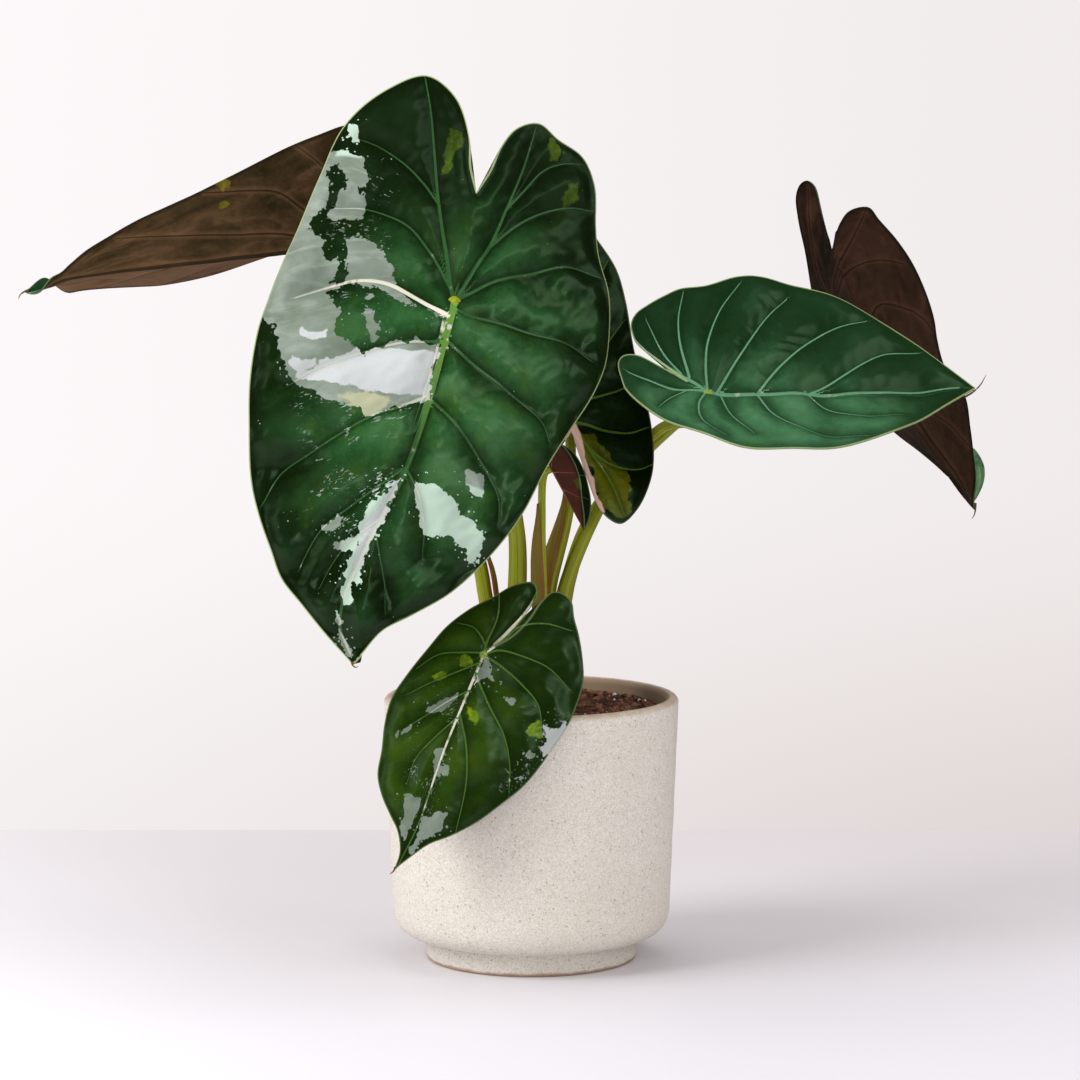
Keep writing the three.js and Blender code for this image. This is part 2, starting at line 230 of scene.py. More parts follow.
def new_object(name, bm, paint, smooth):
    mesh = bpy.data.meshes.new(name)
    bm.to_mesh(mesh)
    bm.free()
    mesh.materials.append(paint.material)
    mesh.polygons.foreach_set("use_smooth", [smooth] * len(mesh.polygons))
    made = bpy.data.objects.new(name, mesh)
    scene.collection.objects.link(made)
    print(name, "has", sum(len(face.vertices) - 2 for face in mesh.polygons), "triangles")
    return made


def make_piece(name, bm, paint, node=None, smooth=True):
    piece = new_object(name, bm, paint, smooth)
    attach(piece, "root")
    if node:
        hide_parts(node)
    return piece


# %% [markdown]
# The stoneware has an oatmeal glaze: pale, with a fine mottle, sparse brown specks and a slight
# pitting. The lip breaks to a tan line, the inside is darker, and the foot's edge is bare clay.

# %% Stoneware finish
pot_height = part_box("pot")[1].z / mm
rim_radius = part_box("pot")[1].x / mm


def stoneware_paint():
    paint = new_paint("stoneware")
    place = paint.place()
    height = paint.axis(place, 2)
    away = paint.length(paint.scaled(place, (1, 1, 0)))
    mottle = paint.noise(place, 700, 3, 0.5, 2.5)
    cloud = paint.noise(place, 22, 3)
    grain = paint.cells(place, 1000)
    specks = grain.below(0.26) * paint.noise(place, 400, 2).step(0.4, 0.48)
    pits = paint.cells(place, 340).below(0.17) * paint.noise(place, 150, 2).step(0.46, 0.52)
    spots = paint.cells(place, 230).below(0.1) * paint.noise(place, 60, 2).step(0.55, 0.6)
    broken = paint.noise(place, 130, 4).step(0.25, 0.7)
    lip = height.step((pot_height - 3.2) * mm, (pot_height - 0.8) * mm)
    within = 1 - away.step((rim_radius - 5) * mm, (rim_radius - 3.4) * mm)
    bare = 1 - (height + (broken - 0.5) * 0.8 * mm).step(0.9 * mm, 2.4 * mm)
    color = paint.coat(
        paint.mix(mottle.step(0.34, 0.66), (200, 194, 182), (229, 225, 216)),
        (cloud.step(0.3, 0.75) * 0.3, (206, 198, 182)),
        (specks * 0.6, (168, 146, 116)),
        (pits * 0.7, (170, 146, 116)),
        (spots * 0.6, (120, 92, 66)),
        (lip * (0.35 + 0.5 * broken), (182, 158, 134)),
        (within * height.step(100 * mm, 110 * mm), (146, 124, 102)),
        (bare * 0.8, (150, 116, 84)))
    relief = mottle * 0.5 + grain * 0.3 + cloud * 1.5 - pits
    return paint.finish(color, 0.46 + 0.2 * mottle + 0.25 * bare, relief, 0.25, 0.5)


print("pot:", round(pot_height), "mm high and", round(2 * rim_radius), "mm across its lip")

# %% [markdown]
# The outline of the pot's wall is made of short runs of points: arcs for the lip and the foot's edge,
# soft bows for the wide corners, and walls that keep the faint rings of the potter's fingers.

# %% Runs of an outline
wall = 6
low_radius = 66
corner_radius = 13
foot_height = 11
foot_radius = 50
foot_top_radius = 52
floor_height = 17


def arc(center, radius, start, end, steps):
    turns = [math.radians(start + (end - start) * i / steps) for i in range(steps + 1)]
    return [(center[0] + radius * math.cos(t), center[1] + radius * math.sin(t)) for t in turns]


def bow(start, pull, end, steps):
    parts = [i / steps for i in range(steps + 1)]
    return [tuple((1 - t) ** 2 * a + 2 * t * (1 - t) * b + t * t * c
                  for a, b, c in zip(start, pull, end)) for t in parts]


def wall_line(start, end, steps, ripple):
    """A nearly straight wall with the faint rings that the potter's fingers leave."""
    points = []
    for i in range(1, steps):
        t = i / steps
        swell = ripple * math.sin(t * 31) * math.sin(math.pi * t)
        points.append((start[0] + (end[0] - start[0]) * t + swell, start[1] + (end[1] - start[1]) * t))
    return points


print("the pot's wall is", wall, "mm thick and its foot is", foot_height, "mm high")

# %% [markdown]
# A pot is thrown on a wheel, so it is spun here too. Its outline is drawn once, from the middle of the
# foot up to the lip and down the inside, and turned about the Z axis. It has the sizes of the CAD pot.

# %% Pot
def pot_mesh():
    lip = wall / 2
    corner = foot_height + corner_radius
    inside = low_radius - wall
    line = [(0, 0)] + arc((foot_radius - 1.2, 1.2), 1.2, -90, 0, 6)
    line += [(foot_radius + 0.5, 4), (foot_top_radius - 0.3, foot_height - 1)]
    line += [(foot_top_radius, foot_height - 0.2), (low_radius - corner_radius, foot_height + 0.3)]
    line += bow((low_radius - corner_radius + 1, foot_height + 0.4), (low_radius - 1, foot_height + 1),
                (low_radius, corner), 10)
    line += wall_line((low_radius, corner), (rim_radius, pot_height - lip), 40, 0.1)
    line += arc((rim_radius - lip, pot_height - lip), lip, 0, 180, 14)
    line += wall_line((rim_radius - wall, pot_height - lip), (inside, floor_height + 11), 12, 0)
    line += bow((inside, floor_height + 11), (inside - 1, floor_height), (inside - 14, floor_height), 6)
    line += [(0, floor_height)]
    bm = bmesh.new()
    points = [bm.verts.new((x * mm, 0, z * mm)) for x, z in line]
    edges = [bm.edges.new(pair) for pair in zip(points, points[1:])]
    bmesh.ops.spin(bm, geom=points + edges, cent=(0, 0, 0), axis=(0, 0, 1), angle=2 * math.pi,
                   steps=160, use_merge=True)
    return closed(bm)


make_piece("stoneware_pot", pot_mesh(), stoneware_paint(), "pot")

# %% [markdown]
# A leaf is worked out flat first, in millimetres: `a` runs along its midrib from the stalk's seat to
# the tip, and `c` runs across. This table holds the two margins of each leaf, the way it faces and
# bends, and the path of its stalk. They are the CAD model's own values.

# %% Leaves, flat
leaves = {
    "main": dict(
        seat=(-35, -45, 316), heading=-112, slope=-56, roll=-30, spin=0, length=178, bow=15, hook=-16,
        lobe_bow=30, fold=(-10, -10), curl=(-10, -10), droop=14, lobe_droop=-14, wave=1.2,
        sinus=(-56, 3), tip=(178, 2), sweep=2.4,
        right=[(-68, 9), (-82, 13), (-99, 24), (-106, 40), (-96, 56), (-75, 72), (-48, 77), (-20, 81),
               (10, 85), (40, 86), (70, 81), (93, 75), (112, 68), (125, 61), (138, 52), (149, 44),
               (158, 32), (168, 18)],
        left=[(-69, -1), (-82, -3), (-93, -8), (-99, -18), (-95, -29), (-91, -43), (-80, -52),
              (-62, -58), (-47, -64), (-30, -73), (-8, -79), (16, -77), (39, -70), (62, -63),
              (85, -58), (102, -52), (120, -43), (135, -33), (149, -19), (160, -7), (172, -1)],
        foot=(-8, -5), path=[(-8, -5, 150), (-7, -4, 205), (-20, -7, 262)], base=5.4, top=3,
        approach=20),
    "leftBack": dict(
        seat=(-94, 40, 337), heading=180, slope=-6, roll=50, spin=0, length=150, bow=-9, hook=6,
        lobe_bow=0, fold=(35, 58), opens=(0, -32), droop=6, twist=130, twist_from=128, wave=0.4,
        sinus=(-26, 0), tip=(150, -3), sweep=2.2,
        right=[(-34, 4), (-46, 10), (-54, 24), (-46, 40), (-28, 50), (-4, 53), (20, 49), (45, 42),
               (64, 36), (83, 28), (98, 18), (112, 11), (126, 7), (136, 6.5), (142, 2)],
        left=[(-34, -4), (-48, -10), (-58, -26), (-50, -44), (-32, -56), (-12, -58), (3, -54),
              (26, -47), (45, -40), (60, -35), (75, -31), (90, -27), (106, -21.5), (118, -17),
              (126, -12.5), (132, -9), (139, -9), (145, -6)],
        foot=(-7, 8), path=[(-17, 9, 140), (-22, 10, 172), (-26, 10, 192), (-60, 18, 270)], base=3.8,
        top=2.6, approach=24),
    "rightFront": dict(
        seat=(82, -30, 273), heading=0, slope=0, roll=36, spin=6, length=125, bow=-22, fold=(16, 16),
        droop=4, wave=0.8, sinus=(-10, -5), tip=(124, -22), sweep=3,
        right=[(-24, -13), (-35, -18), (-41, -17), (-43, -13), (-41, -5), (-33, 13), (-17, 34),
               (3, 47), (22, 56), (40, 57), (59, 51), (77, 40), (96, 20), (112, -4)],
        left=[(-24, -15.5), (-35, -24), (-38, -30), (-39, -35), (-37, -41), (-32, -46), (-25, -52),
              (-17, -58), (-5, -61), (8, -65), (23, -67), (36, -65), (47, -62), (70, -54), (93, -41),
              (111, -30)],
        foot=(12, 1), path=[(12, 2, 145), (16, 6, 176), (33, 15, 215), (48, 19, 238), (62, 14, 252)],
        base=4, top=2.6, approach=15),
    "rightBack": dict(
        seat=(164, 70, 291), heading=10, slope=-53, roll=-55, spin=-12, length=104, bow=14,
        lobe_bow=30, fold=(35, 12), twist=-70, twist_from=78, wave=0.8, sinus=(-40, -9),
        tip=(100, 17), sweep=2.4,
        right=[(-49, 2), (-60, 12), (-64, 19), (-62, 28), (-54, 30), (-39, 34), (-24, 36), (2, 34),
               (14, 31), (28, 29), (45, 32), (62, 28), (79, 23), (92, 20)],
        left=[(-46, -8), (-58, -1), (-70, 2), (-79, 2), (-82, -3), (-80, -10), (-74, -16), (-64, -19),
              (-48, -22), (-27, -29), (-5, -36), (18, -36), (38, -26), (54, -16), (66, -3), (80, 8),
              (92, 13)],
        foot=(12, 12), path=[(14, 15, 150), (18, 19, 180), (33, 26, 215), (95, 38, 270)], base=4,
        top=2.4, approach=22),
    "centerBack": dict(
        seat=(19, 4, 257), heading=92, slope=72, roll=0, spin=2, length=112, fold=(-5, -5),
        curl=(-10, -10), droop=5, wave=0.5, sinus=(-6, 0), tip=(112, -3), sweep=3,
        right=[(-13, 4), (-29, 9), (-40, 13), (-47, 19), (-49, 25), (-41, 33), (-26, 39), (-14, 40),
               (2, 38), (18, 34), (38, 29), (60, 25), (76, 20), (94, 8)],
        left=[(-12, -4), (-19, -10), (-21, -20), (-14, -31), (0, -38), (18, -40), (38, -37),
              (58, -31), (78, -22), (96, -12)],
        foot=(4, 5), path=[(6, 7, 150), (9, 10, 176), (18, 15, 215)], base=4, top=2.5, approach=13),
    "youngest": dict(
        seat=(10, -16, 236), heading=-30, slope=-58, roll=0, spin=0, length=33, fold=(30, 72),
        wave=0.1, sinus=(-5, 0), tip=(33, 0), sweep=2.4,
        right=[(-8, 4), (-10, 9), (-4, 14), (5, 15), (13, 13), (21, 8), (28, 4)],
        left=[(-8, -4), (-10, -9), (-4, -14), (5, -15), (14, -13), (22, -10), (29, -5)],
        foot=(1, -4), path=[(4, -5, 150), (5.5, -7, 176), (5, -12, 208)], base=3.1, top=1.8,
        approach=5),
    "lowerFront": dict(
        seat=(-22, -68, 155), heading=-120, slope=-68, roll=-22, spin=14, length=108, bow=-6, hook=2,
        fold=(-8, -8), curl=(-8, -8), droop=10, lobe_droop=-5, wave=0.7, sinus=(-4, -2),
        tip=(107, -3), sweep=3.2,
        right=[(-13, -6), (-28, -10.5), (-36, -11), (-40, -7), (-35, 1), (-26, 8), (-18, 15), (-6, 22),
               (7, 26), (22, 30), (35, 32), (47, 30), (59, 26), (70, 23), (78, 17), (85, 9), (90, 3),
               (98, -2)],
        left=[(-13, -8.5), (-24, -12.5), (-33, -14), (-40, -17), (-41, -22), (-39, -27), (-33, -31),
              (-27, -36), (-18, -42), (-8, -47), (4, -49), (15, -49), (26, -47), (37, -45), (48, -42),
              (60, -36), (72, -29), (82, -21), (90, -13), (98, -8)],
        foot=(-2, -14), path=[(-3, -18, 128), (-12, -42, 150)], base=3.6, top=2.3, approach=10),
}
blade_thickness = 0.8
stalk_foot = 104
print("leaves:", {name: f"{leaf['length']} mm from seat to tip" for name, leaf in leaves.items()})

# %% [markdown]
# A flat leaf is bent in steps: folded and curled along its midrib, ruffled at its margins, twisted
# toward its tip, drooped, and set at its seat. The CAD blades are bent by the same steps, so both
# have the same form. numpy bends all the points of a leaf at once.

# %% Leaves, bent
wave_length = 44
wave_reach = 50


def smooth(x):
    x = np.clip(x, 0, 1)
    return x * x * (3 - 2 * x)


def leaf_frame(leaf):
    heading, slope, roll, spin = (math.radians(leaf[k]) for k in ("heading", "slope", "roll", "spin"))
    flat = math.cos(slope)
    along = Vector((math.cos(heading) * flat, math.sin(heading) * flat, math.sin(slope)))
    up = Vector((-math.cos(heading) * math.sin(slope), -math.sin(heading) * math.sin(slope), flat))
    across = along.cross(up)
    normal = up * math.cos(roll) + across * math.sin(roll)
    side = across * math.cos(roll) - up * math.sin(roll)
    return (along * math.cos(spin) + side * math.sin(spin),
            side * math.cos(spin) - along * math.sin(spin), normal)


def midrib_offset(leaf, a):
    part = np.asarray(a, float) / leaf["length"]
    ahead = leaf.get("bow", 0) * part ** 2 + leaf.get("hook", 0) * smooth((part - 0.8) / 0.2)
    return np.where(part < 0, leaf.get("lobe_bow", 0) * part ** 2, ahead)


def leaf_points(leaf, a, c, relief=0.0):
    """Points of the upper face in space, raised by the relief, from their places in the flat leaf."""
    a, c = np.asarray(a, float), np.asarray(c, float)
    offset = midrib_offset(leaf, a)
    half = (c > offset).astype(int)
    reach = np.abs(c - offset)
    opens = np.array(leaf.get("opens", (0, 0)), float)[half] * np.maximum(a, 0) / 100
    fold = np.radians(np.array(leaf["fold"], float)[half] + opens)
    curl = np.radians(np.array(leaf.get("curl", (0, 0)), float)[half]) / 100
    curl = np.where(np.abs(curl) < 1e-6, 1e-6, curl)
    y = np.where(half, 1, -1) * (np.sin(fold + curl * reach) - np.sin(fold)) / curl
    height = (np.cos(fold) - np.cos(fold + curl * reach)) / curl + relief
    ruffle = np.sin(2 * math.pi * a / wave_length + 2 * half)
    height = height + leaf["wave"] * (reach / wave_reach) ** 2 * ruffle
    if "twist" in leaf:
        start = leaf["twist_from"]
        turn = math.radians(leaf["twist"]) * smooth((a - start) / (leaf["length"] - start))
        y, height = (y * np.cos(turn) - height * np.sin(turn), y * np.sin(turn) + height * np.cos(turn))
    bend = -np.radians(np.where(a > 0, leaf.get("droop", 0), leaf.get("lobe_droop", 0))) / 100
    bend = np.where(np.abs(bend) < 1e-6, 1e-6, bend)
    x = np.sin(bend * a) / bend - height * np.sin(bend * a)
    z = (1 - np.cos(bend * a)) / bend + height * np.cos(bend * a)
    along, across, normal = (np.array(v) for v in leaf_frame(leaf))
    y = offset + y
    return np.array(leaf["seat"]) + x[..., None] * along + y[..., None] * across + z[..., None] * normal


for name, leaf in leaves.items():
    print(name, "leaf: tip at", leaf_points(leaf, *leaf["tip"]).round())

# %% [markdown]
# Margins, veins and stalks are all smooth curves through a few points. This is the centripetal
# Catmull-Rom curve, which passes through its points without loops, walked at even steps.

# %% Smooth curves
def curve(points, count=None, spacing=None):
    """Even steps along a smooth curve through the points: so many, or so far apart."""
    points = np.array(points, float)
    before = 2 * points[0] - points[1]
    after = 2 * points[-1] - points[-2]
    knots = np.vstack([before, points, after])
    pieces = []
    steps = np.linspace(0, 1, 24, endpoint=False)[:, None]
    for p0, p1, p2, p3 in zip(knots, knots[1:], knots[2:], knots[3:]):
        d0, d1, d2 = (np.linalg.norm(q - p) ** 0.5 for p, q in ((p0, p1), (p1, p2), (p2, p3)))
        start = ((p1 - p0) / d0 - (p2 - p0) / (d0 + d1) + (p2 - p1) / d1) * d1
        end = ((p2 - p1) / d1 - (p3 - p1) / (d1 + d2) + (p3 - p2) / d2) * d1
        cubic = 2 * p1 - 2 * p2 + start + end
        square = -3 * p1 + 3 * p2 - 2 * start - end
        pieces.append(p1 + start * steps + square * steps ** 2 + cubic * steps ** 3)
    dense = np.vstack(pieces + [points[-1:]])
    walked = np.concatenate([[0], np.cumsum(np.linalg.norm(np.diff(dense, axis=0), axis=1))])
    if count is None:
        count = max(2, round(walked[-1] / spacing) + 1)
    stops = np.linspace(0, walked[-1], count)
    return np.stack([np.interp(stops, walked, axis) for axis in dense.T], -1)


for name, leaf in leaves.items():
    print(name, "leaf: right margin in", len(curve(leaf["right"], spacing=2)), "steps of 2 mm")

# %% [markdown]
# Many looks depend on how far a place is from a vein, from the margin or from the edge of a patch.
# A texture can't tell, but a mesh can carry such distances, so they are measured here.

# %% Distances to curves
def nearest(points, line):
    """Each point's distance to a broken line, how far along it the nearest place is, and its side."""
    step = np.diff(line, axis=0)
    size = np.linalg.norm(step, axis=1)
    away = points[:, None, :] - line[None, :-1]
    part = np.clip((away * step).sum(2) / size ** 2, 0, 1)
    gap = np.linalg.norm(away - part[..., None] * step, axis=2)
    best = gap.argmin(1)
    rows = np.arange(len(points))
    walked = np.cumsum(size) - size
    turn = step[best, 0] * away[rows, best, 1] - step[best, 1] * away[rows, best, 0]
    return gap[rows, best], walked[best] + part[rows, best] * size[best], np.where(turn < 0, -1, 1)


def inside_depth(points, outline):
    """How deep each point lies inside a closed outline: below zero outside it."""
    ring = np.array(list(outline) + [outline[0]], float)
    depth = nearest(points, ring)[0]
    x, y = points[:, 0:1], points[:, 1:2]
    (x0, y0), (x1, y1) = ring[:-1].T, ring[1:].T
    crossed = ((y0 > y) != (y1 > y)) & (x < x0 + (x1 - x0) * (y - y0) / np.where(y1 == y0, 1, y1 - y0))
    return np.where(crossed.sum(1) % 2 == 1, depth, -depth)


square = [(0, 0), (4, 0), (4, 4), (0, 4)]
print("a square of 4 mm is", inside_depth(np.array([(2, 2)]), square)[0], "mm deep in its middle")

# %% [markdown]
# The veins: each is a list of places in the flat leaf, after its width in millimetres at its start.
# The midrib comes first. Side veins leave it at its middle line and thin out toward the margin. A
# few are milky at their start, and say how much after their places.

# %% Veins
veins = {
    "main": [
        (3.4, [(-1, 0), (23, 0), (50, 0), (85, 2), (105, 6), (124, 10), (142, 13), (152, 14), (163, 12),
               (174, 4)]),
        (1.2, [(9, 3.2), (25, 2.4), (40, 2.6), (56, 3.6), (66, 4.2)], 0.42),
        (2.0, [(0, 0), (-14, 6), (-45, 18), (-88, 33), (-104, 40)]),
        (1.2, [(-46, 18), (-55, 28), (-63, 40), (-68, 52), (-70, 62)]),
        (1.3, [(-8, 4), (-23, 18), (-32, 29), (-36, 40), (-37, 51), (-35, 66)]),
        (2.0, [(0, 0), (-18, -5), (-34, -10), (-53, -13), (-75, -16), (-96, -17)]),
        (1.2, [(-53, -13), (-65, -19), (-78, -26), (-84, -34), (-87, -43)]),
        (1.4, [(-33, -10), (-45, -18), (-57, -29), (-65, -43), (-68, -55)]),
        (1.7, [(-1, 0), (-16, -15), (-27, -32), (-37, -50), (-38, -66)]),
        (1.6, [(4, 0), (5, -8), (3, -19), (1, -42), (-1, -61), (2, -72)]),
        (1.5, [(20, 0), (26, -14), (32, -32), (41, -54), (51, -61)]),
        (1.4, [(50, 0), (57, -13), (66, -26), (75, -36), (85, -44), (96, -47)]),
        (1.1, [(85, 2), (94, -6), (108, -13), (122, -16)]),
        (2.4, [(9, 1), (2, 19), (-2, 33), (-1, 45), (3, 56), (12, 73)], 1),
        (1.5, [(21, 0), (24, 14), (29, 25), (36, 37), (46, 52), (58, 65)]),
        (1.5, [(48, 0), (57, 12), (65, 24), (77, 36), (89, 47), (101, 57), (119, 62)]),
        (1.3, [(84, 2), (97, 13), (111, 24), (122, 32), (136, 36), (143, 37)]),
        (0.9, [(112, 8), (124, 18), (136, 23), (149, 26)]),
        (0.9, [(116, 9), (128, 3), (140, -3), (151, -6)]),
    ],
    "leftBack": [
        (2.4, [(-2, 0), (40, -1), (80, -3), (110, -5), (128, -6), (148, -4)]),
        (1.6, [(0, 0), (-16, 5), (-34, 14), (-48, 26)]),
        (1.6, [(0, 0), (-16, -8), (-34, -22), (-46, -36)]),
        (1.5, [(-6, -3), (13, -20), (23, -29), (35, -32), (58, -34)]),
        (1.2, [(-14, -7), (1, -38), (8, -46), (14, -51)]),
        (1.1, [(3, 0), (19, -8), (54, -13), (102, -20)]),
        (1.2, [(40, -1), (56, 10), (72, 20), (86, 24)]),
        (1.2, [(8, 0), (24, 14), (36, 28), (46, 38)]),
        (1.0, [(78, -3), (92, 3), (106, 8), (118, 9)]),
    ],
    "rightFront": [
        (2.4, [(-1, 0), (24, -1), (48, -4), (71, -8), (96, -14), (117, -20)]),
        (1.8, [(0, 0), (-16, -10), (-28, -18), (-36, -26)]),
        (1.1, [(-13, -9), (-23, -21), (-32, -37)]),
        (1.3, [(-9, -7), (-15, -26), (-17, -41), (-16, -55)]),
        (1.3, [(0, 0), (-2, -14), (-2, -29), (2, -47), (10, -61)]),
        (1.3, [(4, 0), (14, -23), (26, -47), (32, -56)]),
        (1.3, [(23, -1), (34, -20), (50, -38), (70, -48)]),
        (1.2, [(47, -4), (63, -17), (80, -32), (96, -35)]),
        (1.7, [(0, 0), (-14, 0), (-27, -4), (-38, -9)]),
        (1.0, [(-9, 0), (-17, 10), (-21, 20)]),
        (1.1, [(-1, 2), (-3, 15), (0, 32), (12, 46)]),
        (1.0, [(6, 0), (13, 24), (24, 42)]),
        (1.1, [(23, -1), (33, 21), (46, 35), (58, 39), (76, 36)]),
        (1.0, [(46, -4), (56, 10), (72, 16), (91, 13)]),
    ],
    "rightBack": [
        (2.2, [(0, 0), (30, 3), (61, 8), (79, 12), (96, 16)]),
        (1.7, [(0, 0), (-25, -10), (-40, 2), (-52, 16), (-60, 25)]),
        (1.4, [(-24, -9), (-36, 6), (-36, 20), (-29, 32)]),
        (1.4, [(-2, 1), (-14, 12), (-8, 22), (0, 29), (9, 31)]),
        (1.6, [(0, 0), (-29, -18), (-59, -11), (-79, -3)]),
        (1.1, [(30, 3), (42, 10), (56, 20), (70, 24)]),
        (1.1, [(30, 3), (42, -6), (54, -10), (62, -8)]),
        (1.2, [(6, 0), (12, 12), (24, 24), (36, 28)]),
        (1.2, [(6, 0), (12, -14), (20, -28), (26, -32)]),
    ],
    "centerBack": [
        (2.2, [(-1, 0), (40, 0), (80, -1), (108, -2)]),
        (1.8, [(0, 0), (-14, 9), (-30, 20), (-44, 26)]),
        (1.6, [(0, 0), (-8, -12), (-14, -22)]),
        (1.5, [(2, 0), (10, 8), (13, 16), (18, 26), (28, 30)]),
        (1.7, [(-1, 0), (-2, 8), (-4, 14), (-5, 21), (-5, 28), (-2, 36)]),
        (1.4, [(-6, 3), (-15, 11), (-20, 18), (-22, 25), (-22, 33), (-19, 40)]),
        (1.4, [(6, 0), (14, -16), (24, -36)]),
        (1.3, [(26, 0), (36, 14), (50, 24)]),
        (1.3, [(26, 0), (38, -16), (54, -30)]),
        (1.1, [(54, -1), (66, 9), (80, 16)]),
        (1.1, [(54, -1), (66, -12), (82, -19)]),
    ],
    "youngest": [
        (1.0, [(-1, 0), (16, 0), (32, 0)]),
        (0.6, [(0, 0), (-7, 8)]),
        (0.6, [(0, 0), (-7, -8)]),
        (0.5, [(2, 0), (9, 13)]),
        (0.5, [(2, 0), (9, -13)]),
        (0.4, [(11, 0), (20, 8)]),
        (0.4, [(11, 0), (20, -9)]),
    ],
    "lowerFront": [
        (1.3, [(-2, 0), (22, -1), (47, -2), (60, -3), (83, -5), (104, -4)], 0.55),
        (2.0, [(-1, -0.8), (-13, -5.4), (-28, -9.8), (-37, -10.2)], 1),
        (1.3, [(0, 0), (-6, 1), (-14, 1), (-21, 2), (-30, 6)]),
        (0.9, [(-3, 0), (-7, 4), (-10, 10), (-9, 18)]),
        (1.4, [(0, 0), (-3, -1), (-11, -6), (-19, -10), (-25, -20), (-27, -32)]),
        (1.0, [(-1, -1), (-5, -6), (-7, -18), (-7, -30), (-2, -43)]),
        (1.2, [(0, -1), (2, -12), (6, -24), (11, -33), (22, -40)]),
        (1.1, [(9, 0), (13, -4), (21, -13), (30, -24), (41, -32), (53, -37)]),
        (1.0, [(30, -2), (41, -10), (53, -16), (68, -20), (79, -22)]),
        (0.9, [(-1, 0), (3, 10), (8, 20), (18, 27)]),
        (0.9, [(4, 0), (14, 10), (23, 19), (31, 26)]),
        (0.9, [(18, -1), (26, 6), (36, 13), (46, 20)]),
        (0.8, [(30, -2), (45, 5), (57, 9), (68, 8)]),
    ],
}
print("veins:", {name: len(lines) for name, lines in veins.items()})

# %% [markdown]
# Variegation is a patchwork of tissue with and without green. The large patches are outlines in the
# flat leaf; each says what it does to a field of depths, in order: a pale outline adds to the pale
# tissue and a green one cuts an island from it. The shader later frays their edges with noise.

